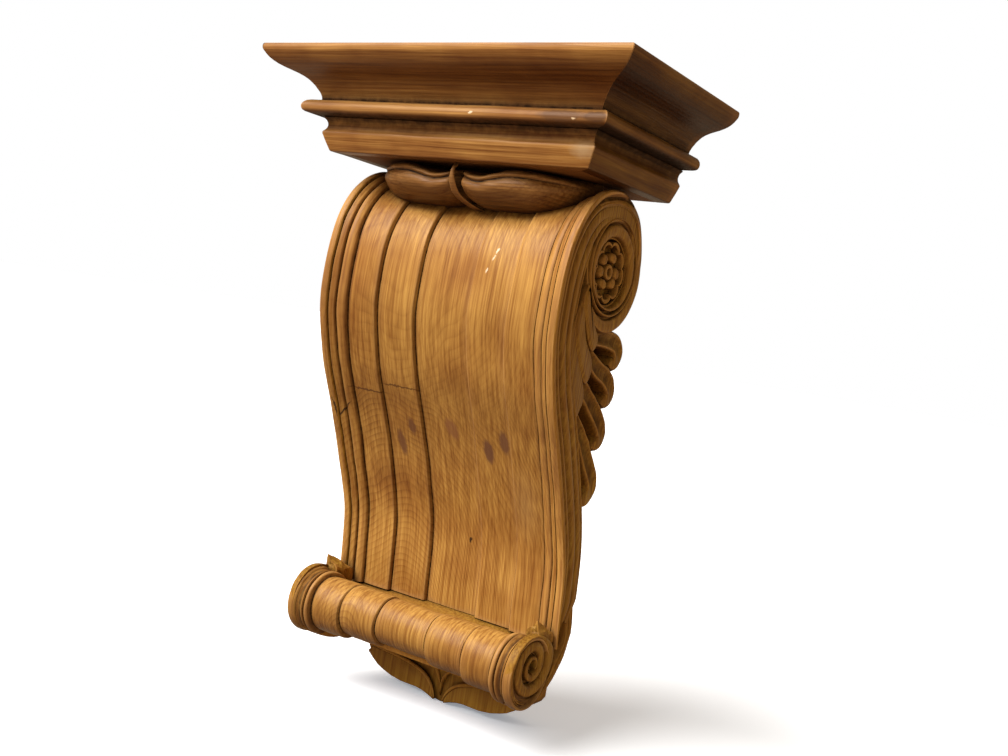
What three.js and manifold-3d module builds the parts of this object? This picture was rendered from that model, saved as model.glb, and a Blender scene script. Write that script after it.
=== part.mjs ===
// A carved wooden corbel bracket: a mitred cornice on a scrolled console.
// Millimetres, +Z up, +Y into the wall, front towards -Y. The origin is on the wall face, at half height.
import * as THREE from 'three';
import { mergeVertices } from 'three/addons/utils/BufferGeometryUtils.js';
import Module from 'manifold-3d';

const wasm = await Module();
wasm.setup();

// Cornice
const CORNICE_WIDTH = 430;
const CORNICE_DEPTH = 233;
const MOULDING_THICKNESS = 74;
const UPPER_LIP = 7.5;
const CYMA_HEIGHT = 38;
const CYMA_REACH = 47;
const BEAD_DIAMETER = 12;
const BEAD_REACH = 34;
const COVE_HEIGHT = 18;
const COVE_REACH = 54;
const FASCIA_HEIGHT = 18;
const FASCIA_TOP_REACH = 51;
const FASCIA_FOOT_REACH = 58;

// Scroll: widths and depths
const SCROLL_HEIGHT = 566;
const SCROLL_WIDTH = 292;
const CORE_WIDTH = 216;
const STRAP_THICKNESS = 50;
const BORDER_WIDTH = 28;
const OUTER_BAND_WIDTH = 38.5;
const INNER_BAND_WIDTH = 47.5;
const BAND_STEP = 6;
const QUIRK = 3;
const SIDE_COVE = 10;

// Roll at the foot of the strap
const ROLL_RADIUS = 36;
const ROLL_BORDER_STEP = 6;
const ROLL_BAND_STEP = 2.8;
const ROLL_SPIRAL_TURNS = 1.75;
const SPIRAL_RELIEF = 3;
const SPIKE_WIDTH = 21;

// Side carving
const VOLUTE_FACE = 137;
const ROSETTE_RADIUS = 32;
const ROSETTE_DEPTH = 11;
const ROSETTE_PETALS = 9;
const ROSETTE_BUDS = 5;
const FINGER_FACE = 134;
const BLADE_FACE = 130.5;
const BLADE_LAP = 3;

// Tail leaf and necking
const TAIL_THICKNESS = 43;
const TAIL_RELIEF = 6;
const NECKING_WIDTH = 248;
const NECKING_STEM = 9;
const NECKING_DROP = 40;
const NECKING_REACH = 163;
const NECKING_BACK = 90;

const FIT_GAP = 0.3;

// Steps along curves
const STRAP_STEPS = 24;
const SPIRAL_STEPS = 24;
const ROLL_SIDES = 18;
const END_SPIRAL_STEPS = 18;
const FINGER_STEPS = 6;
const NECKING_STEPS = 9;

const CORNICE_HEIGHT = UPPER_LIP + CYMA_HEIGHT + QUIRK + BEAD_DIAMETER + COVE_HEIGHT + FASCIA_HEIGHT;
const TOP_Z = (CORNICE_HEIGHT + SCROLL_HEIGHT) / 2;
const SOFFIT_Z = TOP_Z - CORNICE_HEIGHT;
const HALF_WIDTH = SCROLL_WIDTH / 2;
const HALF_CORE = CORE_WIDTH / 2;

// Carving is laid out in thousandths of the scroll's height: out from the wall, and down from the soffit
function share(value) {
  return (value / 1000) * SCROLL_HEIGHT;
}

function sidePoint(out, down) {
  return new THREE.Vector2(-share(out), SOFFIT_Z - share(down));
}

function splineThrough(points) {
  return new THREE.SplineCurve(points.map(([out, down]) => sidePoint(out, down)));
}

// Solids from geometry, with shared corners merged and faces turned outwards
function signedVolume(position, index) {
  const a = new THREE.Vector3();
  const b = new THREE.Vector3();
  const c = new THREE.Vector3();
  let volume = 0;
  for (let i = 0; i < index.length; i += 3) {
    a.fromBufferAttribute(position, index[i]);
    b.fromBufferAttribute(position, index[i + 1]);
    c.fromBufferAttribute(position, index[i + 2]);
    volume += a.dot(b.cross(c)) / 6;
  }
  return volume;
}

function toSolid(source) {
  const bare = source.clone();
  bare.deleteAttribute('normal');
  bare.deleteAttribute('uv');
  const merged = mergeVertices(bare, 1e-3);
  const { position } = merged.attributes;
  const kept = [];
  const index = merged.index.array;
  for (let i = 0; i < index.length; i += 3) {
    const [p, q, r] = [index[i], index[i + 1], index[i + 2]];
    if (p !== q && q !== r && r !== p) kept.push(p, q, r);
  }
  if (signedVolume(position, kept) < 0) kept.reverse();
  const mesh = new wasm.Mesh({
    numProp: 3,
    vertProperties: new Float32Array(position.array),
    triVerts: new Uint32Array(kept),
  });
  return new wasm.Manifold(mesh);
}

function toGeometry(solid) {
  const mesh = solid.getMesh();
  const geometry = new THREE.BufferGeometry();
  geometry.setAttribute('position', new THREE.BufferAttribute(new Float32Array(mesh.vertProperties), 3));
  geometry.setIndex(new THREE.BufferAttribute(new Uint32Array(mesh.triVerts), 1));
  geometry.computeVertexNormals();
  return geometry;
}

function joinAll(geometries) {
  return geometries.map(toSolid).reduce((whole, piece) => whole.add(piece));
}

function mirrored(geometry) {
  return geometry.clone().scale(-1, 1, 1);
}

// A flat outline carried through steps from 0 to 1, each corner placed by a rule
function carry(outline, steps, place) {
  const shape = new THREE.Shape(outline.map(([a, b]) => new THREE.Vector2(a, b)));
  const geometry = new THREE.ExtrudeGeometry(shape, { depth: 1, steps, bevelEnabled: false });
  const { position } = geometry.attributes;
  for (let i = 0; i < position.count; i += 1) {
    const at = place(position.getX(i), position.getY(i), position.getZ(i));
    position.setXYZ(i, at.x, at.y, at.z);
  }
  return geometry;
}

// An outline in the side plane, given as (y, z) points, as thick as from x0 to x1
function sidePlate(points, x0, x1) {
  const outline = points.map((p) => [p.x, p.y]);
  return carry(outline, 1, (y, z, t) => new THREE.Vector3(x0 + (x1 - x0) * t, y, z));
}

// Cornice profile, as (distance in from the upper edge, distance down from the top)
function corniceProfile() {
  const cymaSteps = 6;
  const profile = [[0, 0], [-1, UPPER_LIP * 0.4], [0, UPPER_LIP]];
  for (let i = 1; i <= cymaSteps; i += 1) {
    const u = i / cymaSteps;
    const inward = CYMA_REACH * (0.5 * u + 0.5 * Math.sin((u * Math.PI) / 2));
    profile.push([inward, UPPER_LIP + CYMA_HEIGHT * Math.pow(u, 1.45)]);
  }
  const beadTop = UPPER_LIP + CYMA_HEIGHT + QUIRK;
  const beadRadius = BEAD_DIAMETER / 2;
  for (let i = 0; i <= 4; i += 1) {
    const angle = (i / 4) * Math.PI;
    const inward = BEAD_REACH + beadRadius * (1 - Math.sin(angle));
    profile.push([inward, beadTop + beadRadius * (1 - Math.cos(angle))]);
  }
  const coveTop = beadTop + BEAD_DIAMETER;
  profile.push([COVE_REACH - 8, coveTop + 0.5]);
  profile.push([COVE_REACH - 1.5, coveTop + COVE_HEIGHT * 0.25]);
  profile.push([COVE_REACH, coveTop + COVE_HEIGHT * 0.55]);
  profile.push([COVE_REACH - 1.2, coveTop + COVE_HEIGHT * 0.8]);
  profile.push([FASCIA_TOP_REACH, coveTop + COVE_HEIGHT]);
  profile.push([FASCIA_FOOT_REACH, CORNICE_HEIGHT - 0.5]);
  profile.push([FASCIA_FOOT_REACH + 1, CORNICE_HEIGHT]);
  profile.push([MOULDING_THICKNESS, CORNICE_HEIGHT], [MOULDING_THICKNESS, 0]);
  return profile;
}

function corniceFront() {
  return carry(corniceProfile(), 1, (inward, down, t) => {
    const end = CORNICE_WIDTH / 2 - inward - FIT_GAP / 2;
    return new THREE.Vector3(end * (2 * t - 1), inward - CORNICE_DEPTH, TOP_Z - down);
  });
}

function corniceReturn() {
  return carry(corniceProfile(), 1, (inward, down, t) => {
    const mitre = inward - CORNICE_DEPTH + FIT_GAP / 2;
    return new THREE.Vector3(CORNICE_WIDTH / 2 - inward, mitre * t, TOP_Z - down);
  });
}

function corniceBoard() {
  const half = CORNICE_WIDTH / 2 - MOULDING_THICKNESS - FIT_GAP;
  const depth = CORNICE_DEPTH - MOULDING_THICKNESS - FIT_GAP;
  const board = new THREE.BoxGeometry(2 * half, depth, CORNICE_HEIGHT);
  return board.translate(0, -depth / 2, TOP_Z - CORNICE_HEIGHT / 2);
}

// Front edge of the strap, from the wall side of the volute over its top and down to the roll
const STRAP_FRONT = splineThrough([
  [2, 160], [8, 100], [34, 44], [72, 18], [112, 9], [152, 10], [191, 19], [226, 40], [259, 77], [283, 133],
  [292, 209], [288, 285], [258, 380], [212, 475], [169, 570], [133, 665], [120, 760], [114, 817],
]);
const STRAP_AT_TOP = 0.18;
const STRAP_AT_FRONT = 0.36;
const STRAP_AT_WAIST = 0.7;

// Share of the full edge width: slim round the volute, full on the bulge, a little less at the foot
function edgeShare(t) {
  const wind = THREE.MathUtils.smoothstep(t, STRAP_AT_TOP * 0.5, STRAP_AT_FRONT);
  const foot = THREE.MathUtils.smoothstep(t, STRAP_AT_WAIST, 1);
  return 0.5 + 0.5 * wind - 0.18 * foot;
}

function strapPoint(t, lift) {
  const at = STRAP_FRONT.getPointAt(t);
  const along = STRAP_FRONT.getTangentAt(t);
  return new THREE.Vector2(at.x + along.y * lift, at.y - along.x * lift);
}

// Face of strap and roll: height of each band and moulding over half the width, outwards from the middle
function bandFace(borderStep, bandStep) {
  const bandEdge = HALF_WIDTH - BORDER_WIDTH;
  const middleEdge = bandEdge - OUTER_BAND_WIDTH - INNER_BAND_WIDTH;
  const low = -borderStep - 2 * bandStep;
  return [
    [middleEdge, low], [middleEdge + 2, low + bandStep],
    [bandEdge - OUTER_BAND_WIDTH, low + bandStep], [bandEdge - OUTER_BAND_WIDTH + 2, -borderStep],
    [bandEdge - 1, -borderStep], [bandEdge + 1, -QUIRK / 2],
    [bandEdge + 6, -QUIRK / 2], [bandEdge + 9, -QUIRK * 1.4],
    [bandEdge + 13, -QUIRK], [bandEdge + 16, -QUIRK / 3],
    [HALF_WIDTH - 2, 0], [HALF_WIDTH, -2],
  ];
}

// Moulded edge of the strap, from its corner back towards the wall
function strapSide() {
  const face = HALF_WIDTH - SIDE_COVE;
  const shares = [
    [0, 0.16], [3.5, 0.23], [0, 0.29], [3, 0.44], [3, 0.58], [0, 0.66], [2, 0.78], [1, 0.9], [-2, 1],
  ];
  return shares.map(([raised, part]) => [face + raised, -STRAP_THICKNESS * part]);
}

function strap() {
  const right = [...bandFace(BAND_STEP, BAND_STEP), ...strapSide()];
  const left = right.map(([x, lift]) => [-x, lift]).reverse();
  return carry([...right, ...left], STRAP_STEPS, (x, lift, t) => {
    const onEdge = Math.abs(x) > HALF_WIDTH - BORDER_WIDTH && lift < -QUIRK * 1.5;
    const p = strapPoint(t, onEdge ? lift * edgeShare(t) : lift);
    const beyondCore = Math.max(0, Math.abs(x) - HALF_CORE);
    const drawnIn = beyondCore * 0.34 * (1 - THREE.MathUtils.smoothstep(t, 0, STRAP_AT_TOP));
    return new THREE.Vector3(x - Math.sign(x) * drawnIn, p.x, p.y);
  });
}

// Roll: a turned bar with the strap's bands, its middle set a little high
const ROLL_CENTRE = sidePoint(189, 849);

function roll() {
  const face = bandFace(ROLL_BORDER_STEP, ROLL_BAND_STEP);
  const right = face.map(([x, lift]) => [ROLL_RADIUS + lift, x]);
  const left = right.map(([radius, x]) => [radius, -x]).reverse();
  const end = HALF_WIDTH - SPIRAL_RELIEF;
  const corner = ROLL_RADIUS * 0.9;
  const profile = [[0, -end], [corner, -end], ...left, ...right, [corner, end], [0, end]];
  const lathe = new THREE.LatheGeometry(profile.map(([r, x]) => new THREE.Vector2(r, x)), ROLL_SIDES);
  lathe.rotateZ(-Math.PI / 2);
  const { position } = lathe.attributes;
  for (let i = 0; i < position.count; i += 1) {
    const radius = Math.hypot(position.getY(i), position.getZ(i));
    const inset = Math.max(0, ROLL_RADIUS - radius) * (radius > ROLL_RADIUS / 2 ? 0.32 : 0);
    const y = ROLL_CENTRE.x + position.getY(i);
    position.setXYZ(i, position.getX(i), y, ROLL_CENTRE.y + position.getZ(i) + inset);
  }
  return lathe;
}

// Heel: what joins strap and roll, and carries the scroll's outer turn at each end
function heel() {
  const back = [[48, 722], [46, 741], [48, 798], [65, 842], [94, 886], [138, 911], [189, 913]];
  const endFront = [[200, 860], [189, 800], [152, 806], [118, 790], [110, 730]];
  const middleFront = [[200, 860], [189, 822], [112, 824], [74, 812], [68, 730]];
  const outline = (front) => [
    ...splineThrough(back).getPoints(12),
    ...front.map(([out, down]) => sidePoint(out, down)),
  ];
  const raise = (p, amount) => new THREE.Vector2(p.x - amount * 0.4, p.y + amount);
  const middle = outline(middleFront).map((p) => (
    p.y < ROLL_CENTRE.y ? raise(p, ROLL_BORDER_STEP) : p
  ));
  const inner = HALF_WIDTH - BORDER_WIDTH;
  const end = sidePlate(outline(endFront), inner, HALF_WIDTH - SIDE_COVE - 0.5);
  return [sidePlate(middle, -inner - 1, inner + 1), end, mirrored(end)];
}

// Spiral ridge on the end of the roll
function endSpiral() {
  const shoulder = SPIRAL_RELIEF * 0.7;
  const section = [[-2.2, -4], [2.2, -4], [1.6, shoulder], [0, SPIRAL_RELIEF], [-1.6, shoulder]];
  const ridge = carry(section, END_SPIRAL_STEPS, (across, height, t) => {
    const angle = Math.PI * 0.25 + t * ROLL_SPIRAL_TURNS * 2 * Math.PI;
    const radius = (ROLL_RADIUS - 3) * (1 - 0.86 * t) + across * (1 - 0.4 * t);
    return new THREE.Vector3(
      HALF_WIDTH - SPIRAL_RELIEF + height,
      ROLL_CENTRE.x + radius * Math.cos(angle),
      ROLL_CENTRE.y - radius * Math.sin(angle),
    );
  });
  return [ridge, mirrored(ridge)];
}

// Pointed webs left standing between strap and roll at both ends
function spikes() {
  const corners = [[116, 795], [116, 835], [176, 825], [170, 793], [161, 764]];
  const outline = corners.map(([out, down]) => sidePoint(out, down));
  const foot = outline[0].y;
  const tip = outline[4].y;
  const peak = HALF_WIDTH - SPIKE_WIDTH * 0.4;
  const web = carry(outline.map((p) => [p.x, p.y]), 1, (y, z, t) => {
    const rise = THREE.MathUtils.clamp((z - foot) / (tip - foot), 0, 1);
    const outside = HALF_WIDTH - SPIRAL_RELIEF - SPIKE_WIDTH * (1 - t);
    return new THREE.Vector3(THREE.MathUtils.lerp(outside, peak, rise * 0.9), y, z);
  });
  return [web, mirrored(web)];
}

// Core: the block behind the strap, flat on the wall, its foot cut as the tail leaf
function core() {
  const front = [];
  const steps = 14;
  for (let i = 0; i <= steps; i += 1) {
    const t = STRAP_AT_TOP + (1 - STRAP_AT_TOP) * (i / steps);
    front.push(strapPoint(t, -STRAP_THICKNESS * 0.6));
  }
  const foot = [sidePoint(120, 880), sidePoint(76, 905)];
  const back = [new THREE.Vector2(0, foot[1].y), new THREE.Vector2(0, SOFFIT_Z - FIT_GAP)];
  const head = new THREE.Vector2(front[0].x, SOFFIT_Z - FIT_GAP);
  return sidePlate([head, ...front, ...foot, ...back], -HALF_CORE, HALF_CORE);
}

// Tail leaf: a plate under the roll with two lobes that meet in a point
function tailOutline() {
  const half = new THREE.SplineCurve([
    new THREE.Vector2(HALF_CORE, share(900)), new THREE.Vector2(HALF_CORE * 0.96, share(948)),
    new THREE.Vector2(HALF_CORE * 0.8, share(978)), new THREE.Vector2(HALF_CORE * 0.52, share(990)),
    new THREE.Vector2(HALF_CORE * 0.2, share(989)), new THREE.Vector2(0, share(1000)),
  ]).getPoints(12);
  const other = half.slice(0, -1).map((p) => new THREE.Vector2(-p.x, p.y)).reverse();
  return [...half, ...other];
}

function tail() {
  const top = share(870);
  const outline = tailOutline().map((p) => [p.x, p.y]);
  const plate = carry([[HALF_CORE, top], ...outline, [-HALF_CORE, top]], 1, (x, down, t) => (
    new THREE.Vector3(x, -TAIL_THICKNESS * t, SOFFIT_Z - down)
  ));
  const lobe = carry([
    [HALF_CORE * 0.04, share(994)], [HALF_CORE * 0.1, share(975)], [HALF_CORE * 0.28, share(958)],
    [HALF_CORE * 0.6, share(946)], [HALF_CORE * 0.9, share(942)], [HALF_CORE * 0.93, share(952)],
    [HALF_CORE * 0.78, share(974)], [HALF_CORE * 0.52, share(986)], [HALF_CORE * 0.2, share(985)],
  ], 2, (x, down, t) => {
    const pull = t > 0.75 ? 0.12 : 0;
    const y = -TAIL_THICKNESS + 2 - (TAIL_RELIEF + 2) * t;
    const px = x + (HALF_CORE * 0.5 - x) * pull;
    return new THREE.Vector3(px, y, SOFFIT_Z - (down + (share(965) - down) * pull * 2));
  });
  const side = HALF_CORE * 0.2;
  const tips = [[0, share(986)], [side, share(925)], [0, share(890)], [-side, share(925)]];
  const leaflet = carry(tips, 1, (x, down, t) => (
    new THREE.Vector3(x, -TAIL_THICKNESS + 2 - (TAIL_RELIEF + 4) * t, SOFFIT_Z - down)
  ));
  return [plate, lobe, mirrored(lobe), leaflet];
}

// Side volute: radii at each quarter turn from the top, in thousandths, over the wall side and inwards
const VOLUTE_CENTRE = sidePoint(110, 145);
const VOLUTE_RADII = [137, 109, 105, 87, 83, 76, 71];

function voluteRadius(quarters) {
  const low = Math.min(Math.floor(quarters), VOLUTE_RADII.length - 2);
  const u = quarters - low;
  const blend = u * u * (3 - 2 * u) * 0.5 + u * 0.5;
  return share(VOLUTE_RADII[low] + (VOLUTE_RADII[low + 1] - VOLUTE_RADII[low]) * blend);
}

function volutePoint(quarters, radius) {
  const angle = Math.PI / 2 - (quarters * Math.PI) / 2;
  return new THREE.Vector2(
    VOLUTE_CENTRE.x + radius * Math.cos(angle),
    VOLUTE_CENTRE.y + radius * Math.sin(angle),
  );
}

function voluteDisc() {
  const rim = [];
  for (let i = 0; i <= 20; i += 1) rim.push(volutePoint(i * 0.15, voluteRadius(i * 0.15)));
  rim.push(volutePoint(3.5, share(150)));
  return sidePlate(rim, HALF_CORE - 4, VOLUTE_FACE - 4);
}

// Moulded band that winds inwards round the rosette
function voluteBand() {
  const section = [
    [0, -8], [0, 2], [0.1, 3.5], [0.34, 4], [0.46, 1.5], [0.58, 4], [0.82, 3.4], [0.95, 0.5], [0.98, -8],
  ];
  const turns = VOLUTE_RADII.length - 1;
  return carry(section, SPIRAL_STEPS, (across, height, t) => {
    const quarters = t * turns;
    const outer = voluteRadius(quarters);
    const width = share(34) * (1 - t) + share(16) * t;
    const p = volutePoint(quarters, outer - across * width);
    return new THREE.Vector3(VOLUTE_FACE - 4 + height * (1 - 0.35 * t), p.x, p.y);
  });
}

function rosetteWell() {
  const well = new THREE.CylinderGeometry(ROSETTE_RADIUS + 1.5, ROSETTE_RADIUS - 1.5, 40, 28);
  well.rotateZ(-Math.PI / 2);
  return well.translate(VOLUTE_FACE - ROSETTE_DEPTH + 20, VOLUTE_CENTRE.x, VOLUTE_CENTRE.y);
}

function petal(radius, size, count, i, lift) {
  const ball = new THREE.SphereGeometry(1, 6, 4);
  const angle = (i / count) * 2 * Math.PI + lift * 0.1;
  ball.scale(lift + 3, size, size * 0.92);
  return ball.translate(
    VOLUTE_FACE - ROSETTE_DEPTH,
    VOLUTE_CENTRE.x + radius * Math.cos(angle),
    VOLUTE_CENTRE.y + radius * Math.sin(angle),
  );
}

function rosette() {
  const pieces = [];
  for (let i = 0; i < ROSETTE_PETALS; i += 1) {
    pieces.push(petal(ROSETTE_RADIUS * 0.74, ROSETTE_RADIUS * 0.27, ROSETTE_PETALS, i, 3));
  }
  for (let i = 0; i < ROSETTE_BUDS; i += 1) {
    pieces.push(petal(ROSETTE_RADIUS * 0.4, ROSETTE_RADIUS * 0.22, ROSETTE_BUDS, i, 5));
  }
  const eye = new THREE.TorusGeometry(ROSETTE_RADIUS * 0.15, ROSETTE_RADIUS * 0.09, 6, 12);
  eye.rotateY(Math.PI / 2);
  pieces.push(eye.translate(VOLUTE_FACE - ROSETTE_DEPTH + 4, VOLUTE_CENTRE.x, VOLUTE_CENTRE.y));
  return pieces;
}

// Finger lobes: each a tapering rounded channel that curls round a hollow towards the wall
const FINGERS = [
  {
    path: [[133, 264], [80, 262], [35, 266], [17, 283], [22, 301], [42, 307]],
    width: [33, 37, 38, 34, 30, 20],
  },
  {
    path: [[141, 292], [88, 319], [48, 331], [24, 352], [29, 372], [50, 379]],
    width: [33, 37, 38, 35, 30, 20],
  },
  {
    path: [[150, 342], [102, 375], [62, 402], [33, 431], [35, 451], [58, 462]],
    width: [30, 36, 38, 36, 31, 22],
  },
  {
    path: [[150, 404], [110, 439], [71, 480], [40, 519], [43, 543], [74, 557]],
    width: [28, 34, 37, 37, 32, 22],
  },
];

function finger({ path, width }) {
  const line = splineThrough(path);
  const section = [[-0.5, -30], [-0.5, -4], [-0.3, 0], [0, -3], [0.3, 0], [0.5, -4], [0.5, -30]];
  return carry(section, FINGER_STEPS, (across, height, t) => {
    const at = line.getPointAt(t);
    const along = line.getTangentAt(t);
    const k = Math.min(Math.floor(t * (width.length - 1)), width.length - 2);
    const u = t * (width.length - 1) - k;
    const offset = across * share(width[k] + (width[k + 1] - width[k]) * u);
    const y = Math.min(at.x - along.y * offset, -0.4);
    return new THREE.Vector3(FINGER_FACE + height, y, at.y + along.x * offset);
  });
}

// Overlapping pointed blades between volute and strap, the upper ones on top
const BLADES = [
  [
    [184, 183], [170, 204], [152, 229], [131, 248], [117, 262],
    [120, 278], [133, 287], [148, 271], [170, 239], [187, 204],
  ],
  [
    [187, 200], [166, 259], [145, 280], [120, 303], [117, 328],
    [133, 345], [155, 317], [178, 282], [196, 241],
  ],
  [
    [192, 228], [173, 290], [152, 322], [132, 349], [122, 372],
    [131, 391], [148, 405], [168, 363], [189, 306], [200, 262],
  ],
];

function blade(points, order) {
  const face = BLADE_FACE + (BLADES.length - 1 - order) * BLADE_LAP;
  const outline = points.map(([out, down]) => sidePoint(out, down));
  return sidePlate(outline, HALF_CORE - 4, face);
}

function scrollBody() {
  const right = [voluteDisc(), voluteBand(), ...FINGERS.map(finger), ...BLADES.map(blade)];
  const left = right.map(mirrored);
  const middle = [strap(), roll(), ...heel(), core(), ...tail(), ...endSpiral(), ...spikes()];
  const mass = joinAll([...middle, ...right, ...left]);
  const well = rosetteWell();
  const hollowed = mass.subtract(toSolid(well)).subtract(toSolid(mirrored(well)));
  const flowers = [...rosette(), ...rosette().map(mirrored)];
  return toGeometry(flowers.map(toSolid).reduce((whole, piece) => whole.add(piece), hollowed));
}

// Leaf necking: two rolled lobes and a stem that hang under the soffit, over the strap's top
function neckingLobe() {
  const reach = [0.91, 0.98, 1, 0.98, 0.92, 0.82, 0.69].map((part) => part * NECKING_REACH);
  const drop = [0.85, 1, 1, 0.97, 0.9, 0.63, 0.2].map((part) => part * NECKING_DROP);
  const section = [[0, 0], [0.7, 0], [0.97, 0.12], [1, 0.32], [0.9, 0.62], [0.6, 0.9], [0.3, 1], [0, 1]];
  const start = 2;
  return carry(section, NECKING_STEPS, (a, b, t) => {
    const k = Math.min(Math.floor(t * (reach.length - 1)), reach.length - 2);
    const u = t * (reach.length - 1) - k;
    const front = THREE.MathUtils.lerp(reach[k], reach[k + 1], u);
    const depth = THREE.MathUtils.lerp(drop[k], drop[k + 1], u);
    const x = start + (NECKING_WIDTH / 2 - start) * t;
    const y = -THREE.MathUtils.lerp(NECKING_BACK, front, a);
    return new THREE.Vector3(x, y, SOFFIT_Z - FIT_GAP - depth * b);
  });
}

// The necking's back is cut to the scroll, with the fitting gap in front, above and to both sides
function leafNecking(scroll) {
  const lobe = neckingLobe();
  const stem = carry([[0, 0], [1, 0], [0.92, 0.5], [0.35, 1], [0, 1]], 1, (a, b, t) => {
    const x = (t - 0.5) * NECKING_STEM;
    const y = -THREE.MathUtils.lerp(NECKING_BACK, NECKING_REACH + 1, a);
    return new THREE.Vector3(x, y, SOFFIT_Z - FIT_GAP - NECKING_DROP * 0.92 * b);
  });
  const strip = joinAll([lobe, mirrored(lobe), stem]);
  const shifts = [-FIT_GAP, FIT_GAP];
  const cutters = shifts.map((aside) => toSolid(scroll.clone().translate(aside, -FIT_GAP, FIT_GAP)));
  return cutters.reduce((left, cutter) => left.subtract(cutter), strip);
}

function addPiece(group, name, geometry, color, roughness) {
  const material = new THREE.MeshStandardMaterial({ color, roughness, metalness: 0 });
  const mesh = new THREE.Mesh(geometry, material);
  mesh.name = name;
  group.add(mesh);
}

const scroll = scrollBody();
const corbel = new THREE.Group();
addPiece(corbel, 'cornice_front', toGeometry(toSolid(corniceFront())), '#9a6a3a', 0.5);
addPiece(corbel, 'cornice_right_return', toGeometry(toSolid(corniceReturn())), '#6f4a2a', 0.55);
addPiece(corbel, 'cornice_left_return', toGeometry(toSolid(mirrored(corniceReturn()))), '#8a5c33', 0.5);
addPiece(corbel, 'cornice_board', toGeometry(toSolid(corniceBoard())), '#7d552f', 0.6);
addPiece(corbel, 'leaf_necking', toGeometry(leafNecking(scroll)), '#6a4426', 0.55);
addPiece(corbel, 'scroll_body', scroll, '#bb8547', 0.5);

export default corbel;
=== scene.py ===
"""A carved pine corbel bracket: a mitred cornice over a banded scroll, with its studio."""

import logging
from bisect import bisect_right
from collections.abc import Callable, Sequence
from dataclasses import dataclass
from enum import Enum
from math import cos, pi, radians, sin, tau

import bmesh
import bpy
from mathutils import Matrix, Vector, noise


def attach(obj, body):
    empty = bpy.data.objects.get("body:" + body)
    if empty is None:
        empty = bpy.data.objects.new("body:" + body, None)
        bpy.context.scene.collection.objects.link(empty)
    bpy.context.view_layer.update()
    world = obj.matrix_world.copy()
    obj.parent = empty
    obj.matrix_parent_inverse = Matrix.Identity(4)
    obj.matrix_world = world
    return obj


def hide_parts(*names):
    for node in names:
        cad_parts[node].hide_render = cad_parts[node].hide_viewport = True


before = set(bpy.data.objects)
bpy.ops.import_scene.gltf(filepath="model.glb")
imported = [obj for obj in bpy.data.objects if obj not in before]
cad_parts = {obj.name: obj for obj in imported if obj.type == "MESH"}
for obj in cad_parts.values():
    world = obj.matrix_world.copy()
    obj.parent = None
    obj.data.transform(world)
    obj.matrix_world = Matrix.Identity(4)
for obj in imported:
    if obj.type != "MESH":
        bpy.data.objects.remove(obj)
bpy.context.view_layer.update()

log = logging.getLogger("corbel")

Pair = tuple[float, float]
Triple = tuple[float, float, float]
Place = Callable[[float, float, float], Vector]

# Main sizes in millimetres, as in the CAD part
CORNICE_WIDTH = 430.0
CORNICE_DEPTH = 233.0
CORNICE_HEIGHT = 96.5
MOULDING_THICKNESS = 74.0
SCROLL_HEIGHT = 566.0
CORE_WIDTH = 216.0
FIT_GAP = 0.3
TOP_Z = (CORNICE_HEIGHT + SCROLL_HEIGHT) / 2
SOFFIT_Z = TOP_Z - CORNICE_HEIGHT
FLOOR_Z = -TOP_Z - 0.5
HALF_CORE = CORE_WIDTH / 2
MM = 0.001

# A swollen face rises in steps: each step's share of the rise, and its width in mm
SWELL_SHARES = (0.5, 0.35, 0.15)
SWELL_STEP = 0.9

# Sizes in mm of what the finishes' patterns draw
FIBRE_WIDTH = 3.0
RAGGED = 5.0
DIRT_AND_SHADE_SIZE = 9.0
JOINT_BLEND = 18.0
WEIGHT_SIZE = 24.0
SWAY = 46.0
BLOTCH_SIZE = 85.0
SWAY_SIZE = 110.0

# Where a mark's rim lies, as a share of its half size, and how squat the arcs are
MARK_RIM = 1.15
ARC_SQUAT = 0.6

# What fine fibres, uneven wax and the painted shade on faces that turn down multiply the wood's colour
# by
FIBRE_TINT = "#a27c50"
WAX_TINT = "#b0804c"
UNDERSIDE_SHADE_TINT = "#7a5a38"


class Grain(Enum):
    """Which way the boards' fibres run in the part's frame."""

    UP = (0.0, 0.0, 0.0)
    ACROSS = (0.0, pi / 2, 0.0)
    INTO = (pi / 2, 0.0, 0.0)


# Measuring and curves


def side_point(out: float, down: float) -> Vector:
    """Turn thousandths of the scroll's height, from wall and soffit, into (y, z) in mm."""
    return Vector((-out * SCROLL_HEIGHT / 1000, SOFFIT_Z - down * SCROLL_HEIGHT / 1000))


def mix(a: float, b: float, share: float) -> float:
    """Blend from a to b by a share from 0 to 1."""
    return a + (b - a) * share


def ease(value: float, low: float, high: float) -> float:
    """Rise smoothly from 0 at low to 1 at high."""
    share = min(max((value - low) / (high - low), 0.0), 1.0)
    return share * share * (3 - 2 * share)


def through(table: Sequence[Pair], at: float) -> float:
    """Read a value from a table of (key, value) rows, smooth between the rows.

    Args:
        table: Rows in rising order of key.
        at: The key to read; it is held between the first and last key.

    Returns:
        The value there, on a cubic through the rows.
    """
    keys = [row[0] for row in table]
    low = min(max(bisect_right(keys, at) - 1, 0), len(table) - 2)
    before, (x0, y0) = table[max(low - 1, 0)], table[low]
    (x1, y1), after = table[low + 1], table[min(low + 2, len(table) - 1)]
    span = x1 - x0
    u = min(max((at - x0) / span, 0.0), 1.0)
    rise0 = (y1 - before[1]) / (x1 - before[0]) * span
    rise1 = (after[1] - y0) / (after[0] - x0) * span
    return (
        (2 * u**3 - 3 * u**2 + 1) * y0
        + (u**3 - 2 * u**2 + u) * rise0
        + (3 * u**2 - 2 * u**3) * y1
        + (u**3 - u**2) * rise1
    )


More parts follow.
